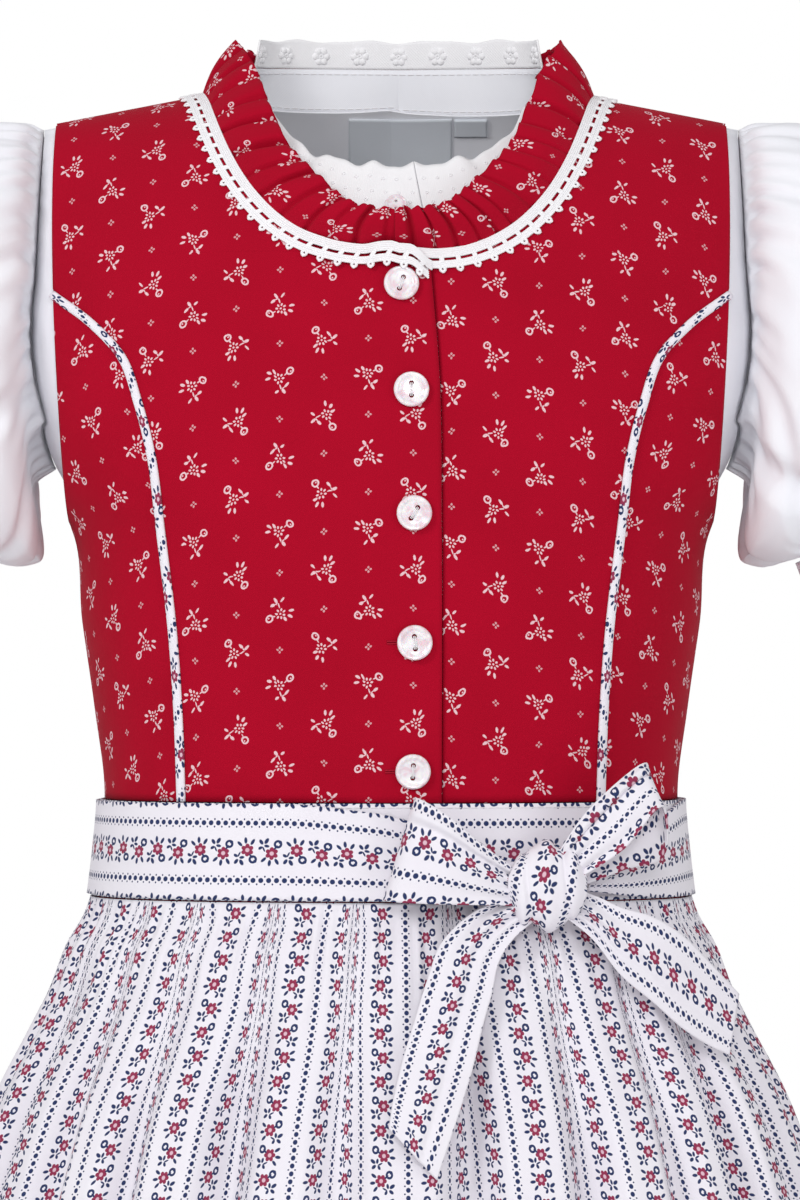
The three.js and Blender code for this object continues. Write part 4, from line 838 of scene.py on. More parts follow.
def sunk(phi, z):
    """How deep the cloth lies behind the outer line of its folds."""
    t = np.clip((z - SKIRT_TOP) / (SKIRT_HEM - SKIRT_TOP), 0, 1)
    grown = 0.74 * eased(-z, 322, 440) + 0.26 * eased(-z, 430, 700)
    deep = np.zeros(np.broadcast(phi, z).shape)
    for waist, hem, depth, width in VALLEYS:
        reach = np.abs(away_from(phi, waist + (hem - waist) * t)) / (width * REACH)
        deep = np.maximum(deep, depth * furrow(reach))
    deep = deep * grown
    fade_in = eased(-z, 322, 336)
    for angle, half, depth, end in creases:
        reach = np.abs(away_from(phi, angle)) / (half * (1 + eased(-z, 330, -end)))
        fade = fade_in * (1 - eased(-z, 345, -end))
        deep = deep + depth * fade * furrow(reach)
    return deep


print("deepest fold at the hem in mm:", round(float(sunk(np.arange(360.0), SKIRT_HEM).max()), 1))


# %% Gathered cloth
def tucked(points, at_waist):
    """The flat cut's width along each row: spread evenly over the ridges, and the rest of the
    cloth tucked into the valleys, more of it the nearer the row is to the band."""
    run = travelled(points.swapaxes(0, 1)).T
    waists = np.r_[VALLEYS[:, 0], VALLEYS[:, 0] + 360]
    waists = np.sort(waists[(waists > at_waist[0]) & (waists < at_waist[-1])])
    ridges = np.r_[at_waist[0], (waists[1:] + waists[:-1]) / 2, at_waist[-1]]
    stops = np.searchsorted(at_waist, ridges)
    across = np.zeros_like(run)
    for a, b, valley in zip(stops[:-1], stops[1:], waists):
        cell = run[:, a:b + 1] - run[:, [a]]
        whole = run[EVEN_ROW, b] - run[EVEN_ROW, a]
        rate = np.minimum(RIDGE_EASE, whole / cell[:, -1])[:, None]
        share = np.cumsum(np.exp(-(((at_waist[a:b + 1] - valley) / TUCK_ANGLE) ** 2)))
        share = (share - share[0]) / (share[-1] - share[0])
        across[:, a:b + 1] = (run[EVEN_ROW, a] + rate * cell
                              + (whole - rate[:, 0] * cell[:, -1])[:, None] * share)
    return across


def drapery(name, start, end, columns, rows, inset, finish, inside, thickness):
    """Gathered cloth from one angle to another, over the given heights."""
    at_waist = np.linspace(start, end, columns)
    order = np.argsort(VALLEYS[:, 0])
    waists = np.r_[VALLEYS[order, 0], VALLEYS[order, 0] + 360]
    moved = np.tile((VALLEYS[:, 1] - VALLEYS[:, 0])[order], 2)
    drift = np.interp(at_waist, waists, moved)
    drift *= np.minimum(1, np.minimum(abs(at_waist - start), abs(at_waist - end)) / 8)
    z = np.asarray(rows)[:, None]
    t = np.clip((z - SKIRT_TOP) / (SKIRT_HEM - SKIRT_TOP), 0, 1)
    phi = at_waist[None] + drift[None] * t
    points = raised(drape_at, phi, z + 0 * phi, -inset - sunk(phi, z), level=True)
    if start == -90:
        points[..., 1] = np.minimum(points[..., 1], -SEAM)
    if start == 90:
        points[..., 1] = np.maximum(points[..., 1], SEAM)
    across = tucked(points, at_waist)
    across -= np.interp(0 if start < 0 else 180, at_waist, across[EVEN_ROW])
    down = travelled(points).mean(1)
    flat = np.stack(np.broadcast_arrays(across, -down[:, None]), -1)
    return cloth(name, points, flat, finish, thickness, lining=inside)


def heights(top, bottom, count, power=1.35):
    return top + (bottom - top) * np.linspace(0, 1, count) ** power


# %% Skirt front and back, and the apron's panel
sewn(drapery("skirt_front_cotton", -90, 90, 270, heights(SKIRT_TOP, SKIRT_HEM, 56), SKIRT_INSET,
             dress_cotton, lining, DRESS_WALL), ["skirt_front"])
sewn(drapery("skirt_back_cotton", 90, 270, 330, heights(SKIRT_TOP, SKIRT_HEM, 58), SKIRT_INSET,
             dress_cotton, lining, DRESS_WALL), ["skirt_back"])
sewn(drapery("apron_panel_cotton", -APRON_EDGE, APRON_EDGE, 480, heights(APRON_TOP, APRON_HEM, 64),
             0.0, apron_cotton, apron_reverse, APRON_WALL),
     ["apron_panel"])

# %% [markdown]
# ## Waistband and ties
# The band lies round the waist over the skirt's seam. Its two ties run on round the back, cross
# there and come to the front, where they cover the band and narrow into pleats as they reach
# the knot. They lie on the same form as the bodice, one cloth further out.

# %% Band and ties
BAND_TOP, BAND_BOTTOM, BAND_OUT, TIE_OUT, KNOT_RISE = -286.4, -325, 1.7, 3.4, 7
BAND_HALF, BAND_ROWS = 20.3, 25
TIE_LONG = [  # angle, top, bottom, how far out
    (114, BAND_TOP, -324.5, BAND_OUT), (126, -290, -324, BAND_OUT), (150, -307, -323, BAND_OUT),
    (210, -307, -323, TIE_OUT), (234, -296, -324, TIE_OUT), (246, -287, -324.6, TIE_OUT),
    (342, BAND_TOP, -324.8, TIE_OUT), (360, -291, -325, TIE_OUT), (372, -300, -325, TIE_OUT),
    (378, -307, -325, TIE_OUT + 2), (388, -312, -324, TIE_OUT + KNOT_RISE),
]
TIE_SHORT = [
    (38, -312, -322, TIE_OUT + KNOT_RISE), (48, -304, -324, TIE_OUT + 2),
    (60, -295, -325, TIE_OUT), (78, BAND_TOP, -325, TIE_OUT), (114, BAND_TOP, -324.6, TIE_OUT),
    (126, BAND_TOP, -314, TIE_OUT), (150, BAND_TOP, -303, TIE_OUT),
    (210, BAND_TOP, -303, BAND_OUT), (234, BAND_TOP, -318, BAND_OUT),
    (246, BAND_TOP, -324.5, BAND_OUT),
]


def waist_strip(name, table, per_degree=1.1, pleats=5):
    table = np.array(table, float)
    phi = np.linspace(table[0, 0], table[-1, 0], int((table[-1, 0] - table[0, 0]) * per_degree))
    top, bottom, out = (np.interp(phi, table[:, 0], table[:, k]) for k in (1, 2, 3))
    soft = np.ones(9) / 9
    top, bottom, out = (np.convolve(np.pad(v, 4, "edge"), soft, "valid")
                        for v in (top, bottom, out))
    share = np.linspace(0, 1, BAND_ROWS)[:, None]
    z = top + (bottom - top) * share
    gathered = np.clip(1 - (top - bottom) / 38, 0, 1)
    ripple = 3.2 * gathered * (0.5 + 0.5 * np.cos(2 * np.pi * pleats * share + 0.02 * phi))
    points = raised(form_at, phi + 0 * share, z, out + ripple)
    run = travelled(points[BAND_ROWS // 2])
    flat = np.stack(np.broadcast_arrays(BAND_HALF * (1 - 2 * share), run), -1)
    return cloth(name, points, flat, apron_cotton, BAND_WALL)


band = [(-108, BAND_TOP, BAND_BOTTOM, BAND_OUT), (108, BAND_TOP, BAND_BOTTOM, BAND_OUT)]
sewn(waist_strip("apron_waistband_cotton", band),
     ["apron_waistband"])
for name, table in (("right", TIE_LONG), ("left", TIE_SHORT)):
    sewn(waist_strip(f"apron_tie_{name}_cotton", table),
         [f"apron_tie_{name}"])

# %% [markdown]
# ## Bow
# The ties' ends are tied in a bow: two flat loops, two tails and a knot. Each is a strip, given
# as a list of stations with its two edges and their depths, and a smooth line through the
# stations gives the strip its bends. The knot is the same strip wound once round the middle.

# %% Stations of the loops and tails
LOOP_RIGHT = [  # x and z of one edge, x and z of the other, their depths
    (52, -314, 52, -326, -93, -93), (35, -301, 31, -325.5, -101, -102),
    (22, -290, 14, -325, -103, -105), (10.4, -283.6, -2, -324, -99, -100),
    (9.4, -283.4, -3, -323.6, -96, -96), (11, -284.6, -0.5, -323.5, -93, -93),
    (28, -297, 27, -324, -92, -92), (51, -314, 51, -325, -89, -89),
]
LOOP_LEFT = [
    (63, -309, 70, -318, -93, -93), (78, -288, 91, -304, -97, -98),
    (98, -271, 107, -288, -92, -94), (99.5, -272, 108, -306, -86, -84),
    (82, -287, 92, -312.5, -84, -82), (66, -310, 71, -320, -89, -88),
]
TAIL_RIGHT = [
    (50, -322, 60, -329, -92, -92), (31.6, -329, 48, -339, -96, -98),
    (20, -340, 42.4, -348, -101, -101), (14.4, -354, 39.6, -360, -107, -106),
    (8.8, -371.6, 36, -372.4, -114, -112), (5.2, -383, 32.4, -387, -119, -118),
    (1.6, -397, 28.4, -400, -126, -125), (-0.8, -410.8, 18, -430.4, -131, -137),
]
TAIL_LEFT = [
    (68, -318, 65, -328, -93, -93), (81, -322.5, 79, -339, -92, -93),
    (91, -327, 90, -353, -91, -92), (104, -331, 104, -365, -88, -88),
    (115, -338, 114, -374, -83, -84), (126, -349, 124, -381, -77, -79),
    (138, -362, 134, -386, -70, -74),
]


print("stations:", [len(rows) for rows in (LOOP_RIGHT, LOOP_LEFT, TAIL_RIGHT, TAIL_LEFT)])

# %% Strips with their folds
BOW_STATIONS, BOW_COLUMNS = 110, 36


def bow_strip(name, stations, edges, folds):
    """A strip through its stations. `edges` are its two edges' places across the printed
    stripe; folds(share, along) is how far it bends forward."""
    a = np.array(stations, float)
    pair = np.stack([a[:, [0, 4, 1]], a[:, [2, 5, 3]]], 1)
    line = spline(pair, BOW_STATIONS)
    share = np.linspace(0, 1, BOW_COLUMNS)
    points = line[:, 0, None] * (1 - share[:, None]) + line[:, 1, None] * share[:, None]
    along = np.linspace(0, 1, len(line))[:, None]
    points[..., 1] -= folds(share[None], along)
    run = travelled(points[:, BOW_COLUMNS // 2])
    width = edges[0] + (edges[1] - edges[0]) * share
    flat = np.stack(np.broadcast_arrays(width[None], run[:, None]), -1)
    return cloth(name, points, flat, apron_cotton, APRON_WALL, facing=(0, -1, 0))


def crease(share, at, width):
    return np.exp(-(((share - at) / width) ** 2))


def loop_folds(s, t):
    near = np.abs(2 * t - 1) ** 2
    return (2.0 * np.sin(np.pi * s) * (1 - near) + 2.2 * crease(s, 0.14, 0.06) * (t < 0.5)
            - 1.6 * crease(s, 0.24, 0.05) * (t < 0.5)
            + near * 1.3 * np.cos(2 * np.pi * 3 * s))


def tail_folds(s, t):
    return (1.4 * np.sin(np.pi * s) + 2.4 * crease(s, 0.42 + 0.1 * t, 0.1) * (1 - 0.7 * t)
            - 1.8 * crease(s, 0.6 + 0.08 * t, 0.07) * (1 - 0.6 * t)
            + (1 - t) ** 2 * 1.2 * np.cos(2 * np.pi * 3 * s))


for part, stations, edges, folds, held in (
        ("bow_loop_right", LOOP_RIGHT, (-14.4, 22.4), loop_folds, "folded"),
        ("bow_loop_left", LOOP_LEFT, (-6.5, 24.5), loop_folds, "folded"),
        ("bow_tail_right", TAIL_RIGHT, (-15.5, 18.5), tail_folds, "hung"),
        ("bow_tail_left", TAIL_LEFT, (-16.5, 17.5), tail_folds, "hung")):
    sewn(bow_strip(f"{part}_cotton", stations, edges, folds), [part])

# %% Knot
KNOT = dict(x=61.5, y=-93, z=-318.5, half_width=16, half_depth=9.5, half_height=17, lean=12)
KNOT_TURNS, KNOT_COLUMNS = 110, 60
KNOT_GIRTH, KNOT_PRINT = 84, (2, 17.5)  # length round it; middle and half width in the print


def knot():
    """The strip wound once round the middle, with the pleats that run into it."""
    turn = np.pi + np.linspace(0, 2 * np.pi, KNOT_TURNS, endpoint=False)[None]
    across = np.linspace(-1, 1, KNOT_COLUMNS)[:, None]
    pinch = 1 - 0.55 * np.abs(across) ** 3
    slant = across + 0.28 * np.sin(turn)
    ridges = 1 + 0.07 * np.cos(slant * 8.5) - 0.11 * crease(slant, -0.52, 0.07) \
        - 0.12 * crease(slant, 0.5, 0.07)
    y = -KNOT["half_depth"] * pinch * ridges * np.sign(np.cos(turn)) * np.abs(np.cos(turn)) ** 0.8
    z = KNOT["half_height"] * pinch * ridges * np.sin(turn)
    x = KNOT["half_width"] * across * (1 - 0.1 * np.abs(np.sin(turn)))
    lean = math.radians(KNOT["lean"])
    points = np.stack([x * math.cos(lean) + z * math.sin(lean) + KNOT["x"], y + KNOT["y"],
                       z * math.cos(lean) - x * math.sin(lean) + KNOT["z"]], -1)
    flat = np.stack(np.broadcast_arrays(KNOT_PRINT[0] + KNOT_PRINT[1] * across,
                                        np.linspace(0, KNOT_GIRTH, KNOT_TURNS + 1)), -1)
    return cloth("bow_knot_cotton", points, flat, apron_cotton, APRON_WALL, loop=True,
                 axis=(KNOT["x"], KNOT["y"]))


sewn(knot(), ["bow_knot"])

# %% [markdown]
# ## Neck frill
# The frill is a straight strip of the dress cloth, gathered into the neckline seam so that it
# stands up round the neck. Between the gathers it lies smooth, and each gather is a narrow
# crease that deepens towards the edge. No two are alike, so spacing and depth drift.

# %% Frill
FRILL_TOP = [  # share of the half neckline, half width, depth, height
    (0, 0, -80, -51.5), (0.12, 17, -76, -49), (0.25, 32, -64, -37), (0.36, 44, -53, -24),
    (0.44, 51, -39, -9), (0.52, 58, -22, 9), (0.6, 65.5, -3, 20), (0.7, 62, 19, 18),
    (0.83, 42, 33, 15), (1, 0, 40, 13.5),
]
FRILL_PLEATS, FRILL_COLUMNS, FRILL_ROWS = 21, 340, 17
FRILL_CUT, FRILL_WALL = 26.0, 0.8


def frill_half(side):
    s = np.linspace(0, 1, FRILL_COLUMNS)
    base = beside_neck(side, FRILL_COLUMNS, -0.5)
    base = base + shoulder_normal(base) * 0.2
    table = np.array(FRILL_TOP)
    fine = spline(table * (100, 1, 1, 1), 400)
    top = np.stack([np.interp(s * 100, fine[:, 0], fine[:, k]) for k in (1, 2, 3)], -1)
    top[:, 0] = NECK_X + side * top[:, 0]
    rise = np.linspace(0, 1, FRILL_ROWS)[:, None, None]
    sheet = base * (1 - rise) + top * rise
    bulge = np.sin(np.pi * rise) * 3 * np.where(sheet[..., 1:2] < 0, 1, 0.2)
    lean = np.stack([side * 0.6 * np.minimum(1, s / 0.08), 0 * s - 0.8, 0 * s + 0.2], -1)
    # at the centre front the two halves lap over each other
    lap = np.clip(1 - s / 0.03, 0, 1)[:, None] * np.array((-1.4 * side, -0.5 * side, 0))
    return sheet + bulge * lean + lap


def frill():
    right, left = frill_half(-1), frill_half(1)
    sheet = np.concatenate([right, left[:, -2::-1]], 1)
    count = sheet.shape[1]
    place = np.linspace(0, 2, count)
    steps = rng.uniform(0.5, 1.5, 2 * FRILL_PLEATS + 1)
    steps = np.r_[0, np.cumsum(steps)] * 2 / steps.sum()
    phase = 2 * np.pi * np.interp(place, steps, np.arange(len(steps)))
    size = np.interp(place, np.linspace(0, 2, 50), rng.uniform(0.15, 1.35, 50))
    # a narrow crease in the middle of each gather, and a slow wave over every two
    crimp = crease(phase % (2 * np.pi), np.pi, 0.55)
    wave = 0.45 * np.sin(0.5 * phase + 1) - 0.35
    along = np.gradient(sheet, axis=1)
    up = (sheet[-1] - sheet[0])[None]
    normal = unit(np.cross(along, np.broadcast_to(up, sheet.shape)))
    rise = np.linspace(0, 1, FRILL_ROWS)[:, None]
    swing = (1.7 + 2.6 * rise**0.7) * crimp * size + 1.2 * rise * wave
    points = sheet + normal * swing[..., None]
    points[..., 2] += 0.8 * rise**2 * np.cos(phase + 1)
    run = travelled(points[-1])
    flat = np.stack(np.broadcast_arrays(run[None], FRILL_CUT * rise), -1)
    return cloth("neck_frill_cotton", points, flat, dress_cotton, FRILL_WALL, axis=(3, -10))


sewn(frill(), ["neck_frill"])

# %% [markdown]
# ## Blouse
# The blouse shows as a strip outside the bodice's armholes, its back inside the neck, and its
# collar. It lies on the same form, just inside the bodice.

# %% Edges of the blouse
BLOUSE_ARMHOLE = [(141, float(shoulder_z(141))), (143, -41), (145, -75), (147, -96),
                  (146.3, -115), (143.8, -136)]
BLOUSE_UNDERARM, BLOUSE_HEM, BLOUSE_NECK, BLOUSE_PLACKET = -156, -205, -9, 13
BLOUSE_OUT, BLOUSE_RIDGE, BLOUSE_SLACK = -3.4, -1.7, 3.4
ARM_ROWS = 70
blouse_arm_x = edge(BLOUSE_ARMHOLE)


def armhole_loop(side, angle):
    """The sleeve seam: 0 at the shoulder, 90 in front, 180 below, 270 behind."""
    down = (1 - np.cos(np.radians(angle))) / 2
    z = BLOUSE_ARMHOLE[0][1] + (BLOUSE_UNDERARM - BLOUSE_ARMHOLE[0][1]) * down
    last_x, last_z = BLOUSE_ARMHOLE[-1]
    high = phi_front(blouse_arm_x(z), z)
    low_share = np.sqrt(np.clip((last_z - z) / (last_z - BLOUSE_UNDERARM), 0, 1))
    last_phi = phi_front(last_x, last_z)
    phi = np.where(z >= last_z, high, last_phi + (90 - last_phi) * low_share)
    phi = np.where(np.asarray(angle) <= 180, phi, 180 - phi)
    return (phi if side > 0 else 360 - phi), z


def blouse_lift(phi, z):
    drop = shoulder_z(form_at(phi, z)[..., 0]) - z
    high = BLOUSE_RIDGE + (BLOUSE_OUT - BLOUSE_RIDGE) * np.clip(drop / 1.5, 0, 1)
    return high - BLOUSE_SLACK * eased(-z, 105, 150)


def arm_edge(side, front):
    t = np.linspace(0, 180, ARM_ROWS)
    t = t if front else 360 - t
    phi, z = armhole_loop(side, t)
    if front and side < 0:
        phi = phi - 360
    end = phi[-1]
    return np.vstack([np.stack([phi, z], -1), [(end, UNDERARM), (end, BLOUSE_HEM)]])


def shares(border):
    return (border[:, 1] - border[0, 1]) / (border[-1, 1] - border[0, 1])


print("blouse's armhole in mm:", round(float(travelled(
    form_at(*armhole_loop(1, np.arange(361.0))))[-1])))


# %% Blouse fronts and back
def blouse_front(side):
    edge_x = BLOUSE_PLACKET + (HALF_GAP if side > 0 else 0)
    line = beside_neck(side, NECK_SAMPLES, BLOUSE_NECK)
    keep = line[(line[:, 1] < -6) & (line[:, 0] * side > edge_x * side + 5)]
    middle = beside_neck(1, NECK_SAMPLES, BLOUSE_NECK)[0]
    neck = spline([(edge_x, middle[1], middle[2]), *keep[::6], neck_ridge(side, BLOUSE_NECK)],
                  NECK_COLUMNS)
    top = top_edge(neck, side * BLOUSE_ARMHOLE[0][0])
    outer = arm_edge(side, True)
    down = shares(outer)
    z_in = neck[0, 2] + (BLOUSE_HEM - neck[0, 2]) * down
    inner = with_phi(np.full(len(down), float(edge_x)), z_in)
    bottom = np.linspace(inner[-1], outer[-1], len(top))
    return panel(f"blouse_front_{HAND[side]}_batiste",
                 patch(top, bottom, inner, outer, down), batiste, BLOUSE_WALL, True,
                 blouse_lift, 0.0)


def blouse_back():
    left, right = (np.vstack([neck_ridge(side, BLOUSE_NECK),
                              *[p for p in beside_neck(side, NECK_SAMPLES, BLOUSE_NECK)[::6]
                                if p[1] > 4]])
                   for side in (1, -1))
    top = back_top(left, right, BLOUSE_ARMHOLE[0][0])
    left, right = arm_edge(1, False), arm_edge(-1, False)
    bottom = np.linspace(left[-1], right[-1], len(top))
    return panel("blouse_back_batiste", patch(top, bottom, left, right, shares(left)), batiste,
                 BLOUSE_WALL, False, blouse_lift, 180.0)


for side, name in HAND.items():
    sewn(blouse_front(side), [f"blouse_front_{name}"])
sewn(blouse_back(), ["blouse_back"])

# %% [markdown]
# ## Collar bands and the lace behind the neck
# A narrow stand of eyelet lace with a wavy edge runs round the front of the blouse's neck. The
# back has a plain band with a strip of flowered lace above it.

# %% Rows of the collar
COLLAR_TOP = [
    (0, 0, -53, -33), (0.17, 20, -51, -31), (0.33, 38, -42, -25), (0.45, 51, -26, -8),
    (0.6, 59, 0, 9), (0.72, 52, 16, 10.5), (0.85, 32, 28, 11), (1, 0, 32, 11),
]
COLLAR_GAP, COLLAR_SHOULDER, COLLAR_LAP, BACK_LACE, BAND_TUCK = -0.4, 0.6, 0.05, 11.4, 1.6
COLLAR_OUT, COLLAR_SAMPLES = 1.2, 400
collar_fine = spline(np.array(COLLAR_TOP) * (100, 1, 1, 1), 300)


def collar_columns(side, s):
    """Bottom and top points of the stand at shares s of the half neckline."""
    line = beside_neck(side, COLLAR_SAMPLES, BLOUSE_NECK - COLLAR_GAP)
    line = line + shoulder_normal(line) * (BLOUSE_OUT + COLLAR_OUT)
    base = np.stack([np.interp(s, np.linspace(0, 1, COLLAR_SAMPLES), line[:, k])
                     for k in range(3)], -1)
    top = np.stack([np.interp(s * 100, collar_fine[:, 0], collar_fine[:, k])
                    for k in (1, 2, 3)], -1)
    top[:, 0] = NECK_X + side * top[:, 0]
    return base, top


def stand(base, top, rows, wave=0.0, height=0.0):
    rise = np.linspace(0, 1, rows)[:, None, None]
    points = base * (1 - rise) + top * rise
    run = travelled(base)
    up = height or np.linalg.norm(top - base, axis=1).mean()
    edge_wave = np.cos(2 * np.pi * run / 29) + 0.5 * np.cos(2 * np.pi * run / 17 + 1)
    points[..., 2] += wave * rise[..., 0] ** 3 * edge_wave[None]
    return points, np.stack(np.broadcast_arrays(run[None], up * rise[..., 0]), -1)


print("stand's height at the centre front in mm:", round(float(np.diff(
    [points[0, 2] for points in collar_columns(1, np.zeros(1))])[0]), 1))


# %% Collar bands
def collar_front(side):
    s = np.linspace(COLLAR_LAP + 0.002 if side > 0 else 0, COLLAR_SHOULDER - 0.006, 150)
    base, top = collar_columns(side, s)
    if side < 0:
        lap = np.linspace(COLLAR_LAP, 0.001, 12)
        more = collar_columns(1, lap)
        base, top = np.vstack([more[0], base]), np.vstack([more[1], top])
    points, flat = stand(base, top, 16, 1.0)
    return cloth(f"blouse_collar_{HAND[side]}_lace", points, flat, lace_yarn,
                 BLOUSE_WALL, axis=(3, 0))


def collar_back():
    s = np.linspace(COLLAR_SHOULDER + 0.006, 1, 90)
    left, right = collar_columns(1, s), collar_columns(-1, s)
    base, top = (np.vstack([a, b[-2::-1]]) for a, b in zip(left, right))
    base = base - unit(top - base) * BAND_TUCK
    points, flat = stand(base, top, 10)
    band = cloth("blouse_collar_back_batiste", points, flat, batiste, BLOUSE_WALL, axis=(3, 0))
    lean = unit(top - base)
    ends = np.ones(len(top))
    ends[:6], ends[-6:] = np.linspace(0.6, 1, 6), np.linspace(1, 0.6, 6)
    low = top + np.array((0, 0, 0.1))
    high = top + lean * (2.1, 2.1, 0) + np.stack([0 * ends, 0 * ends, BACK_LACE * ends], -1)
    points, flat = stand(low, high, 12, 0.5, BACK_LACE)
    return band, cloth("blouse_back_lace_net", points, flat, lace_yarn, BLOUSE_WALL,
                       axis=(3, 0))


for side, name in HAND.items():
    sewn(collar_front(side), [f"blouse_collar_{name}"])
back_band, back_lace = collar_back()
sewn(back_band, ["blouse_collar_back"])
sewn(back_lace, ["blouse_back_lace"])


# %% [markdown]
# ## Puff sleeves
# A puff sleeve is cut much wider than the armhole and gathered into it, and again into the
# cuff. Rings give its outline; fine pleats fan out from the seam and soft long folds run down
# to the cuff.

# %% Rings of the sleeve
SLEEVE = [  # top x, top z, bottom x, bottom z, half depth
    (149, -12, 144, -160, 46), (168, -12.5, 142, -172, 58), (193, -24, 140.5, -182, 65),
    (217, -50, 141, -189, 67), (234, -90, 145, -192, 64), (240, -132, 153, -193, 54),
    (226, -166, 163.5, -190, 36),
]
SLEEVE_GAP = 0.5
HEAD_PLEATS, LONG_FOLDS, CUFF_PLEATS = 46, 13, 34
CUFF_WIDTH, CUFF_LENGTH, CUFF_COLUMNS, CUFF_ROWS = 11, 205, 120, 12
SLEEVE_CUT = 400


def sleeve_ring(row, angle):
    c, s = np.cos(np.radians(angle)), np.sin(np.radians(angle))
    c, s = (np.sign(v) * np.abs(v) ** 0.92 for v in (c, s))
    top_x, top_z, bottom_x, bottom_z, depth = row
    return np.stack([(top_x + bottom_x) / 2 + c * (top_x - bottom_x) / 2, -s * depth,
                     (top_z + bottom_z) / 2 + c * (top_z - bottom_z) / 2], -1)


print("rings:", len(SLEEVE), "and pleats:", HEAD_PLEATS + LONG_FOLDS + CUFF_PLEATS)


# %% Sleeves and cuffs
def sleeve(side, columns=264, rows=54):
    angle = np.arange(columns) * 360 / columns
    phi, z = armhole_loop(side, angle)
    head = raised(form_at, phi, z, blouse_lift(phi, z)) + np.array((side * SLEEVE_GAP, 0, 0))
    rings = [head * (side, 1, 1), *[sleeve_ring(row, angle) for row in SLEEVE]]
    sheet = spline(np.stack(rings), rows)
    along, round_ = np.gradient(sheet, axis=0), np.roll(sheet, -1, 1) - np.roll(sheet, 1, 1)
    normal = unit(np.cross(along, round_))
    t = np.linspace(0, 1, rows)[:, None]
    a = np.radians(angle)[None]
    local = np.random.default_rng(11 + side)
    folds = np.zeros((rows, columns))
    degrees = np.degrees(a)
    for k in range(HEAD_PLEATS):  # fine pleats that fan out from the armhole
        centre = k * 360 / HEAD_PLEATS + local.uniform(-3, 3)
        width = local.uniform(2.4, 4.0)
        end, lean = local.uniform(0.15, 0.5), local.uniform(-8, 8)
        away = np.abs(away_from(degrees, centre + lean * t)) / (width * (1 + 3 * t))
        fade = eased(t, 0, 0.04) * (1 - eased(t, 0.06, end))
        folds -= local.uniform(1.4, 3.2) * fade * furrow(away)
    for k in range(LONG_FOLDS):  # soft folds down the sleeve
        centre, width = k * 360 / LONG_FOLDS + local.uniform(-9, 9), local.uniform(5, 11)
        lean = local.uniform(-35, 35)
        away = np.abs(away_from(degrees, centre + lean * t)) / width
        fade = eased(t, 0.05, 0.35) * (1 - 0.4 * eased(t, 0.85, 1))
        folds -= local.uniform(2.5, 6.5) * fade * furrow(away)
    for k in range(CUFF_PLEATS):  # small pleats into the cuff
        centre, width = k * 360 / CUFF_PLEATS + local.uniform(-3, 3), local.uniform(3, 5)
        away = np.abs(away_from(degrees, centre)) / width
        fade = eased(t, local.uniform(0.65, 0.85), 1.0)
        folds -= local.uniform(0.6, 1.9) * fade * furrow(away)
    # the folds only ever sink into the sleeve
    facing = 1 if np.sum(normal * (sheet - sheet.mean((0, 1)))) > 0 else -1
    sheet = sheet + facing * normal * (folds - 0.3 * eased(t, 0, 0.1))[..., None]
    sheet = sheet * (side, 1, 1)
    run = travelled(sheet).mean(1)
    turn = np.linspace(0, SLEEVE_CUT, columns + 1)
    flat = np.stack(np.broadcast_arrays(turn[None], -run[:, None]), -1)
    puff = cloth(f"sleeve_{HAND[side]}_batiste", sheet, flat, batiste, BLOUSE_WALL, loop=True,
                 axis=(side * 185, 0))
    last = SLEEVE[-1]
    arm = unit(np.array([last[1] - last[3], 0, last[2] - last[0]], float))
    cuff_angle = np.arange(CUFF_COLUMNS) * 360 / CUFF_COLUMNS
    rims = [sleeve_ring(last, cuff_angle) + arm * down
            for down in np.linspace(1.2, 1.6 + CUFF_WIDTH, CUFF_ROWS)]
    cuff = np.stack(rims) * (side, 1, 1)
    flat = np.stack(np.broadcast_arrays(np.linspace(0, CUFF_LENGTH, CUFF_COLUMNS + 1),
                                        np.linspace(0, -CUFF_WIDTH, CUFF_ROWS)[:, None]), -1)
    cuff = cloth(f"cuff_{HAND[side]}_batiste", cuff, flat, batiste, CUFF_WALL, loop=True,
                 axis=(side * 195, 0))
    return puff, cuff


for side, name in HAND.items():
    puff, cuff = sleeve(side)
    sewn(puff, [f"sleeve_{name}"])
    sewn(cuff, [f"cuff_{name}"])

# %% [markdown]
# ## Thread, rings and beads by rule
# Lace, sewing and embroidery repeat one small shape along a path, so two Geometry Nodes trees
# make them. The first turns every edge of a mesh into a piece of thread. The second sets a
# small ring of yarn, with beads of yarn on it, at every point, turned by two directions that
# the points carry: `out` of the cloth and `along` the row.

# %% The inputs of a tree and its end
def new_tree(name, **sizes):
    tree = bpy.data.node_groups.new(name, "GeometryNodeTree")
    tree.interface.new_socket("Geometry", in_out="INPUT", socket_type="NodeSocketGeometry")
    tree.interface.new_socket("Geometry", in_out="OUTPUT", socket_type="NodeSocketGeometry")
    for label, value in sizes.items():
        kind = "NodeSocketInt" if isinstance(value, int) else "NodeSocketFloat"
        tree.interface.new_socket(label.replace("_", " "), in_out="INPUT",
                                  socket_type=kind).default_value = value
    tree.interface.new_socket("Finish", in_out="INPUT", socket_type="NodeSocketMaterial")
    return tree, tree.nodes.new("NodeGroupInput").outputs


def finish_tree(tree, shape, finish):
    real = node(tree, "GeometryNodeRealizeInstances", shape)
    painted = node(tree, "GeometryNodeSetMaterial", real, into={"Material": finish})
    node(tree, "NodeGroupOutput", painted)
    return tree


# %% Thread along edges, and rings with beads
def thread_tree():
    tree, inputs = new_tree("thread along edges", Thread_Radius=0.2 * MM)
    path = node(tree, "GeometryNodeMeshToCurve", inputs["Geometry"])
    section = node(tree, "GeometryNodeCurvePrimitiveCircle",
                   into={"Resolution": 5, "Radius": inputs["Thread Radius"]})
    yarn = node(tree, "GeometryNodeCurveToMesh", path, section, into={"Fill Caps": True})
    return finish_tree(tree, yarn, inputs["Finish"])


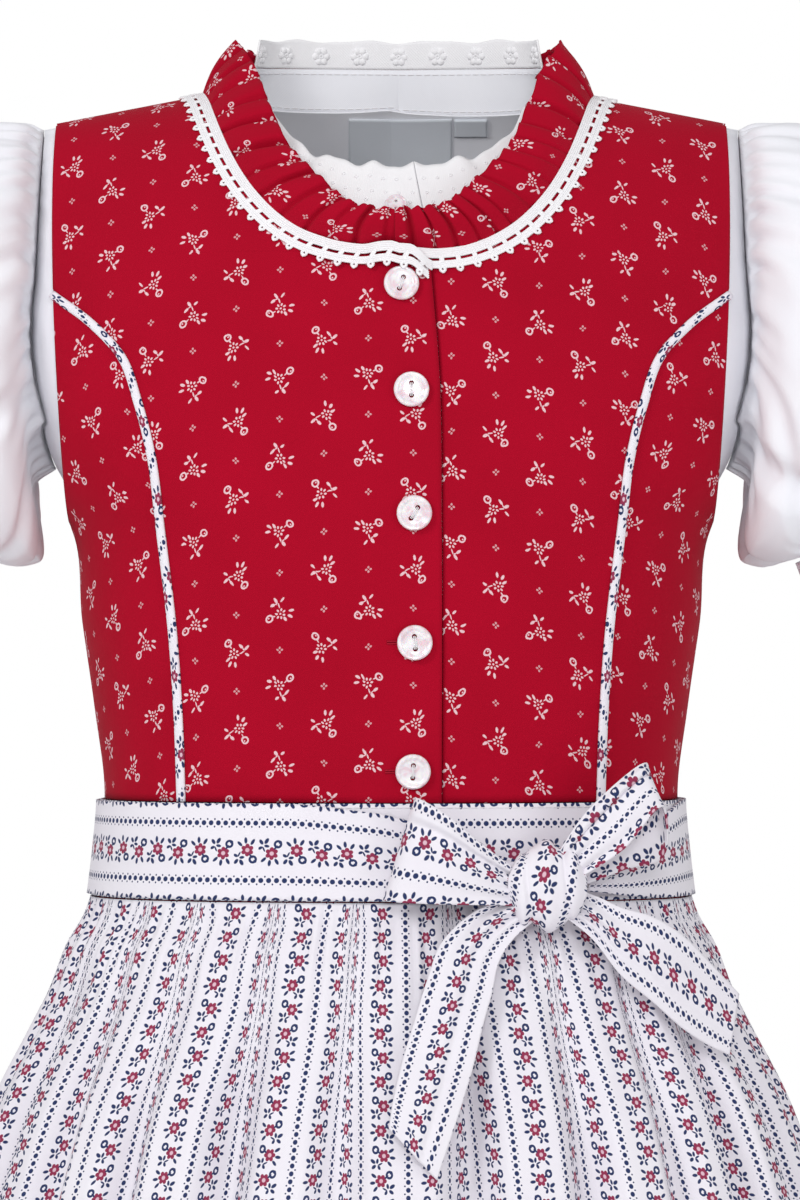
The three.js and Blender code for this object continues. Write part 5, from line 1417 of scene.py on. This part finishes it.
def ring_tree():
    tree, inputs = new_tree("ring with beads at points", Ring_Radius=1.5 * MM,
                            Thread_Radius=0.4 * MM, Bead_Radius=0.6 * MM, Beads=5)
    circle = node(tree, "GeometryNodeCurvePrimitiveCircle",
                  into={"Resolution": 12, "Radius": inputs["Ring Radius"]})
    section = node(tree, "GeometryNodeCurvePrimitiveCircle",
                   into={"Resolution": 5, "Radius": inputs["Thread Radius"]})
    ring = node(tree, "GeometryNodeCurveToMesh", circle, section)
    spots = node(tree, "GeometryNodeMeshCircle",
                 into={"Vertices": inputs["Beads"], "Radius": inputs["Ring Radius"]})
    ball = node(tree, "GeometryNodeMeshUVSphere",
                into={"Segments": 8, "Rings": 5, "Radius": inputs["Bead Radius"]})
    flat_ball = node(tree, "GeometryNodeTransform", ball, into={"Scale": (1, 1, 0.6)})
    beads = node(tree, "GeometryNodeInstanceOnPoints", spots, into={"Instance": flat_ball})
    join = tree.nodes.new("GeometryNodeJoinGeometry")
    for part in (ring, beads):
        tree.links.new(part.outputs[0], join.inputs[0])
    ways = [node(tree, "GeometryNodeInputNamedAttribute", label, data_type="FLOAT_VECTOR")
            for label in ("out", "along")]
    turn = node(tree, "FunctionNodeAxesToRotation", *ways, primary_axis="Z", secondary_axis="X")
    placed = node(tree, "GeometryNodeInstanceOnPoints", inputs["Geometry"],
                  into={"Instance": join, "Rotation": turn})
    return finish_tree(tree, placed, inputs["Finish"])


THREAD, RINGS = thread_tree(), ring_tree()
print("trees:", THREAD.name, "and", RINGS.name)


# %% Running a tree on points
def by_rule(tree, name, points, finish, edges=(), ways=None, **sizes):
    """Runs a tree on points (and edges) in mm; sizes are in mm, counts are whole numbers."""
    mesh = bpy.data.meshes.new(name)
    mesh.from_pydata((np.asarray(points) * MM).tolist(), [tuple(map(int, e)) for e in edges], [])
    for label, values in (ways or {}).items():
        mesh.attributes.new(label, "FLOAT_VECTOR", "POINT").data.foreach_set(
            "vector", np.asarray(values, float).ravel())
    obj = bpy.data.objects.new(name, mesh)
    bpy.context.scene.collection.objects.link(obj)
    rule = obj.modifiers.new("rule", "NODES")
    rule.node_group = tree
    for item in tree.interface.items_tree:
        label = item.name.replace(" ", "_")
        if item.in_out == "INPUT" and label in sizes:
            value = sizes[label]
            rule[item.identifier] = value if isinstance(value, int) else value * MM
        if item.name == "Finish":
            rule[item.identifier] = finish
    plain = bpy.data.meshes.new_from_object(obj.evaluated_get(
        bpy.context.evaluated_depsgraph_get()))
    obj.modifiers.remove(rule)
    obj.data = plain
    outward = bmesh.new()
    outward.from_mesh(plain)
    bmesh.ops.recalc_face_normals(outward, faces=outward.faces)
    outward.to_mesh(plain)
    outward.free()
    plain.shade_smooth()
    print(f"{name}: {len(plain.polygons)} faces")
    return obj


# %% Chains, even spacing and points on a piece
def chain(lines):
    """Joins the points of each line by edges; lines may differ in length."""
    points, edges, start = [], [], 0
    for line in lines:
        points.append(line)
        edges += [(start + k, start + k + 1) for k in range(len(line) - 1)]
        start += len(line)
    return np.vstack(points), edges


def evenly(line, pitch):
    """Points at about the given pitch along a line, with the line's direction there."""
    run = travelled(line)
    at = (np.arange(int(run[-1] / pitch)) + 0.5) * run[-1] / max(1, int(run[-1] / pitch))
    spot = lambda values: np.stack([np.interp(at, run, values[:, k]) for k in range(3)], -1)
    return spot(line), spot(unit(np.gradient(line, axis=0))), at


def on_piece(name, rows, columns, lift):
    """Points of a piece of cloth, raised off its right side."""
    points, side = SURFACES[name]
    normal = side * unit(np.cross(np.gradient(points, axis=1), np.gradient(points, axis=0)))
    return (points + normal * lift)[rows, columns]


# %% [markdown]
# ## Neck lace
# A crocheted ladder lace covers the seam between frill and bodice. Cords of yarn run along both
# sides of the ladder, thicker rungs cross it, and a picot, a small loop with beads, stands on
# the outer edge at each rung.

# %% Ladder and picots
LACE_CORDS = [-0.9, -0.1, 0.7, 1.5, 2.3, 4.3, 5.0, 5.8, 6.5]
LADDER = (1.9, 4.7)
PICOT_AT, LACE_PITCH = 7.3, 6.4
LAP_END, LACE_COLUMNS = 16, 170
CORD_LIFT, RUNG_LIFT, PICOT_LIFT = 0.75, 0.9, 0.7


def lace_path(side, away):
    """The left half starts under the right one, which laps over it and droops at its end."""
    path = beside_neck(side, LACE_COLUMNS, away)
    if side > 0:
        return path[path[:, 0] > LAP_END - 7]
    lap = beside_neck(1, LACE_COLUMNS, away)
    lap = lap[(lap[:, 0] < LAP_END) & (lap[:, 1] < 0)][:0:-1]
    return np.vstack([lap, path])


def lace_side(side):
    def line(away, lift):
        path = lace_path(side, away)
        normal = shoulder_normal(path)
        x, front = path[:, 0], path[:, 1] < 0
        # in front it climbs over the fronts' lap, and the right side's end droops
        over = 1.6 * (1 - eased(np.abs(x + 4), 22, 34)) + 3.2 * (1 - eased(np.abs(x - 4), 7, 16))
        over = over * front * (1 if side < 0 else 0.3)
        path = path + normal * (lift + over)[:, None]
        if side < 0:
            path[:, 2] -= 5.5 * eased(x, LAP_END - 9, LAP_END) * front
        return path, normal

    cords = [line(away, CORD_LIFT)[0] for away in LACE_CORDS]
    inner, outer = (line(away, RUNG_LIFT)[0] for away in LADDER)
    count = int(np.linalg.norm(np.diff(inner, axis=0), axis=1).sum() / LACE_PITCH)
    at = (np.arange(count) + 0.5) / count
    pick = lambda path: np.stack([np.interp(at, np.linspace(0, 1, len(path)), path[:, k])
                                  for k in range(3)], -1)
    a, b = pick(inner), pick(outer)
    along = unit(np.gradient(a, axis=0))
    rungs = [np.stack([p + t * d, q + t * d]) for p, q, t in zip(a, b, along)
             for d in (-0.55, 0.0, 0.55)]
    points, edges = chain(cords)
    more, links = chain(rungs)
    links = [(i + len(points), j + len(points)) for i, j in links]
    name = HAND[side]
    ladder = by_rule(THREAD, f"lace_ladder_{name}", np.vstack([points, more]), lace_yarn,
                     edges + links, Thread_Radius=0.5)
    (tip, normal), (further, _) = (line(PICOT_AT + k, PICOT_LIFT) for k in (0, 1))
    tips, normals = pick(tip), pick(normal)
    ways = {"out": normals, "along": unit(pick(further) - tips)}
    picots = by_rule(RINGS, f"lace_picots_{name}", tips, lace_yarn, ways=ways,
                     Ring_Radius=1.0, Thread_Radius=0.6, Bead_Radius=0.8, Beads=3)
    fixed(ladder, [f"neck_lace_{name}"])
    fixed(picots)


for side in HAND:
    lace_side(side)

# %% [markdown]
# ## Eyelets and flowers
# The collar's stand is worked with three rows of small eyelets below its wavy edge, and the net
# behind the neck carries a row of flowers. An eyelet is a small ring of yarn with four knots on
# it, and a flower is a ring with a bead for each petal and a smaller one for its heart.

# %% Flowers on the stand and on the net
EYELET_ROWS = {7: 8.6, 9: 5.2, 12: 5.2}  # row of the stand's mesh: spacing of its eyelets
FLOWER_ROW, FLOWER_PITCH = 5, 14.6


def flowers(name, piece, row, pitch, lift, **sizes):
    line = on_piece(piece, row, slice(None), lift)
    points, _ = SURFACES[piece]
    up = unit(points[-1] - points[0])
    spots, along, at = evenly(line, pitch)
    share = at / at[-1]
    ups = np.stack([np.interp(share, np.linspace(0, 1, len(up)), up[:, k]) for k in range(3)], -1)
    out = unit(np.cross(along, ups))
    return fixed(by_rule(RINGS, name, spots, lace_yarn, ways={"out": out, "along": along},
                         **sizes))


for name in HAND.values():
    for row, pitch in EYELET_ROWS.items():
        flowers(f"collar_eyelets_{name}_{row}", f"blouse_collar_{name}_lace", row, pitch, 0.1,
                Ring_Radius=0.55, Thread_Radius=0.2, Bead_Radius=0.3, Beads=4)
flowers("net_flowers", "blouse_back_lace_net", FLOWER_ROW, FLOWER_PITCH, -0.75,
        Ring_Radius=2.3, Thread_Radius=0.5, Bead_Radius=1.6, Beads=6)
flowers("net_hearts", "blouse_back_lace_net", FLOWER_ROW, FLOWER_PITCH, -0.95,
        Ring_Radius=0.7, Thread_Radius=0.5, Bead_Radius=0.5, Beads=5)

# %% [markdown]
# ## Labels
# A woven satin label and a small folded size tab are sewn inside the back. Both are bare.

# %% Label and tab
def inside_back(x, z, lift):
    phi = 180 - phi_front(x, z)
    return raised(form_at, phi, z, blouse_lift(phi, z) + lift)


x, z = np.meshgrid(np.linspace(-18, 25.5, 40), np.linspace(-6, -32, 26))
sewn(cloth("neck_label_tape", inside_back(x, z, -1.5 - 0.25 * np.cos((x + z) / 9)),
           np.stack([x, z], -1), woven_tape, 0.4, facing=(0, -1, 0)),
     ["neck_label"])
x, t = np.meshgrid(np.linspace(26.6, 40, 16), np.linspace(-1, 1, 25))
sewn(cloth("size_tab_tape", inside_back(x, -6 - 7 * (1 - np.abs(t) ** 1.3), -1.7 - 0.3 * t),
           np.stack([x, 7 * t], -1), woven_tape, 0.25, facing=(0, -1, 0)),
     ["size_tab"])

# %% [markdown]
# ## Buttons
# A shirt button is turned from a rod or moulded: a raised rim, a dished middle and two holes.
# The holes are cut with a boolean, and two turns of white thread cross from hole to hole.
# Beside each button lies its buttonhole, two close rows of red thread.

# %% A turned button
BUTTON_RADIUS, HOLE_SHARE, HOLE_SPACING, BUTTON_LIFT = 7.0, 0.14, 0.36, 0.5
BUTTON_RINGS, BUTTON_SIDES, HOLE_POINTS, THREAD_LIFT = 30, 56, 12, 0.25
BUTTONS = [  # x, z, how far its holes lean, how far its buttonhole reaches
    (4, -81.6, 20, 6), (8, -123.4, 0, 6), (9.2, -171.6, 32, 6), (9.4, -222.6, -5, 11),
    (8.7, -273.5, 3, 11),
]
PROFILE = [(0, 0.2), (0.8, 0), (0.95, 0.3), (1, 1.0), (0.98, 1.8), (0.93, 2.3), (0.86, 2.4),
           (0.78, 2.2), (0.7, 1.75), (0.55, 1.5), (0.3, 1.42), (0, 1.4)]


def mesh_object(name, shape):
    mesh = bpy.data.meshes.new(name)
    shape.to_mesh(mesh)
    shape.free()
    obj = bpy.data.objects.new(name, mesh)
    bpy.context.scene.collection.objects.link(obj)
    return obj


def turned_button(name, place, out, up, radius, rise=1.0):
    """A turned disc with two drilled holes, on its place and facing `out`."""
    turn = np.stack([np.cross(up, out), up, out], -1)
    rows = spline([(r * radius, h * rise) for r, h in PROFILE], BUTTON_RINGS)
    angle = np.linspace(0, 2 * np.pi, BUTTON_SIDES, endpoint=False)
    disc = bmesh.new()
    rings = [[disc.verts.new((r * math.cos(a), r * math.sin(a), h)) for a in angle]
             for r, h in rows[1:-1]]
    for low, high in zip(rings[:-1], rings[1:]):
        for k in range(len(angle)):
            disc.faces.new([low[k - 1], low[k], high[k], high[k - 1]])
    for ring, h in ((rings[0], rows[0, 1]), (rings[-1], rows[-1, 1])):
        pole = disc.verts.new((0, 0, h))
        for k in range(len(angle)):
            disc.faces.new([ring[k - 1], ring[k], pole])
    bmesh.ops.recalc_face_normals(disc, faces=disc.faces)
    body = mesh_object(name, disc)
    drill = bmesh.new()
    for k in (-1, 1):
        bmesh.ops.create_cone(drill, cap_ends=True, segments=20, depth=9,
                              radius1=HOLE_SHARE * radius, radius2=HOLE_SHARE * radius,
                              matrix=Matrix.Translation((0, k * HOLE_SPACING * radius, 1)))
    drill = mesh_object("drill", drill)
    cut = body.modifiers.new("holes", "BOOLEAN")
    cut.object, cut.operation = drill, "DIFFERENCE"
    plain = bpy.data.meshes.new_from_object(body.evaluated_get(
        bpy.context.evaluated_depsgraph_get()))
    body.modifiers.remove(cut)
    bpy.data.objects.remove(drill)
    body.data = plain
    where = Matrix((turn * MM).tolist()).to_4x4()
    where.translation = Vector((np.asarray(place) * MM).tolist())
    plain.transform(where)
    plain.materials.clear()
    plain.materials.append(pearl_plastic)
    plain.shade_smooth()
    plain.set_sharp_from_angle(angle=math.radians(38))
    return body


# %% Buttons with their thread and buttonholes
def holding_thread(place, out, up, radius):
    """Two turns of thread from hole to hole, dipping into both."""
    across = np.cross(up, out)
    reach = HOLE_SPACING * radius
    return [np.stack([place + up * (s * reach) + across * x + out * h for s, h in
                      ((-1, 0.4), (-1, 1.5), (-0.7, 1.95), (0, 2.05), (0.7, 1.95), (1, 1.5),
                       (1, 0.4))]) for x in (-0.28, 0.28)]


threads, bars = [], []
for number, (x, z, lean, hole) in enumerate(BUTTONS, 1):
    phi = phi_front(x, z)
    base, nearer = (raised(form_at, phi, z, PLACKET_LIFT + BUTTON_LIFT + k) for k in (0, 1))
    out = unit(nearer - base)
    side = unit(np.cross((0, 0, 1), out))
    top = np.cross(out, side)
    up = top * math.cos(math.radians(lean)) + side * math.sin(math.radians(lean))
    fixed(turned_button(f"button_{number}_pearl", base, out, up, BUTTON_RADIUS),
          [f"button_{number}"])
    threads += holding_thread(base, out, up, BUTTON_RADIUS)
    for row in (-0.45, 0.45):
        reach = x - np.linspace(-2, hole, HOLE_POINTS)
        bars.append(raised(form_at, phi_front(reach, z + row), z + row,
                           np.full(HOLE_POINTS, PLACKET_LIFT + THREAD_LIFT)))
points, edges = chain(threads)
fixed(by_rule(THREAD, "button_thread", points, white_thread, edges, Thread_Radius=0.22))
points, edges = chain(bars)
fixed(by_rule(THREAD, "buttonhole_thread", points, red_thread, edges, Thread_Radius=0.36))
tilt = math.radians(28)
fixed(turned_button("blouse_button_pearl", np.array((2, -63.5, -49.5)),
                    np.array((0, -math.cos(tilt), math.sin(tilt))),
                    np.array((0, math.sin(tilt), math.cos(tilt))), 4.5, 0.7),
      ["blouse_button"])

# %% [markdown]
# ## Sewing
# Lockstitch shows as a row of short threads with small gaps, here about 3 mm long, a little
# larger than real ones so that they can be seen. It runs along both edges of the waistband and
# of the collar's back band, the cuffs' edges and the apron's sides.

# %% Rows of stitches
STITCH, STITCH_GAP, STITCH_RADIUS, STITCH_LIFT = 2.4, 0.9, 0.22, 0.12
WHOLE = slice(None)


def stitches(name, piece, rows_and_columns, lift=STITCH_LIFT):
    """Sewing stitches along rows or columns of a piece's mesh, on top of the cloth."""
    threads = []
    for rows, columns in rows_and_columns:
        middle, along, _ = evenly(on_piece(piece, rows, columns, lift), STITCH + STITCH_GAP)
        threads += [np.stack([m - a * STITCH / 2, m, m + a * STITCH / 2])
                    for m, a in zip(middle, along)]
    points, edges = chain(threads)
    return fixed(by_rule(THREAD, name, points, white_thread, edges, Thread_Radius=STITCH_RADIUS))


stitches("band_stitches", "apron_waistband_cotton", [(1, WHOLE), (-2, WHOLE)])
stitches("apron_side_stitches", "apron_panel_cotton", [(slice(2, None), 5), (slice(2, None), -6)])
for name in HAND.values():
    stitches(f"cuff_stitches_{name}", f"cuff_{name}_batiste", [(9, WHOLE)])
stitches("collar_stitches", "blouse_collar_back_batiste", [(1, slice(3, -3)), (8, slice(3, -3))],
         -0.95)

# %% [markdown]
# ## Floor, light and camera
# The floor is a plain pale sheet. The backdrop is white paper, the rest of the room is a soft
# grey, and three large soft lights from the front model the folds without hard shadows. The
# camera looks straight at the front from far away.

# %% Floor and lights
ROOM, PAPER = 0.57, 1.0  # how bright the room and the paper behind the set are
FLOOR_HALF = 1.4
LIGHTS = {  # place, what it is aimed at, size, power
    "key_light": ((-1.3, -1.7, 0.9), (0, 0, -0.3), 0.7, 15),
    "front_light": ((0.15, -2.3, 0.35), (0, 0, -0.2), 0.6, 12),
    "fill_light": ((1.6, -1.8, -0.1), (0, 0, -0.3), 1.0, 5),
}


def stage_plane():
    mesh = bpy.data.meshes.new("floor")
    size, level = FLOOR_HALF, float(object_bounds()[0].z)
    mesh.from_pydata([(-size, -size, level), (size, -size, level), (size, size, level),
                      (-size, size, level)], [], [(0, 1, 2, 3)])
    floor = bpy.data.objects.new("floor", mesh)
    bpy.context.scene.collection.objects.link(floor)
    material, tree = new_finish("pale studio floor")
    surface = node(tree, "ShaderNodeBsdfPrincipled", into={
        "Base Color": linear("#f0f0f0"), "Roughness": 0.8})
    node(tree, "ShaderNodeOutputMaterial", surface)
    mesh.materials.append(material)


def soft_light(name, place, target, size, power):
    light = bpy.data.lights.new(name, "AREA")
    light.shape, light.size, light.energy = "DISK", size, power
    obj = bpy.data.objects.new(name, light)
    bpy.context.scene.collection.objects.link(obj)
    obj.location = place
    aim = (np.array(target) - np.array(place)).tolist()
    obj.rotation_euler = Vector(aim).to_track_quat("-Z", "Y").to_euler()


stage_plane()
for name, (place, target, size, power) in LIGHTS.items():
    soft_light(name, place, target, size, power)
print("lights:", ", ".join(f"{name} {row[3]} W" for name, row in LIGHTS.items()))

# %% Backdrop
world = bpy.data.worlds.new("studio")
bpy.context.scene.world = world
world.use_nodes = True
sky = world.node_tree
sky.nodes.clear()
direction = node(sky, "ShaderNodeSeparateXYZ", node(sky, "ShaderNodeTexCoord").outputs[0])
backdrop = node(sky, "ShaderNodeMapRange", direction.outputs[1], 0.80, 0.95, ROOM, PAPER,
                interpolation_type="SMOOTHSTEP")
glow = node(sky, "ShaderNodeBackground", backdrop, 1.0)
node(sky, "ShaderNodeOutputWorld", glow)
print("backdrop:", PAPER, "room:", ROOM)

# %% Camera
LENS, SENSOR, CAMERA_PLACE = 225, 36, (0.0036, -3.04, -0.206)
camera = bpy.data.objects.new("camera", bpy.data.cameras.new("camera"))
bpy.context.scene.collection.objects.link(camera)
camera.data.lens, camera.data.sensor_width = LENS, SENSOR
camera.data.clip_end = 20
camera.location = CAMERA_PLACE
camera.rotation_euler = (math.radians(90), 0, 0)
bpy.context.scene.camera = camera
bpy.context.scene.view_settings.view_transform = "Standard"
print("camera at", CAMERA_PLACE, "with a", LENS, "mm lens")
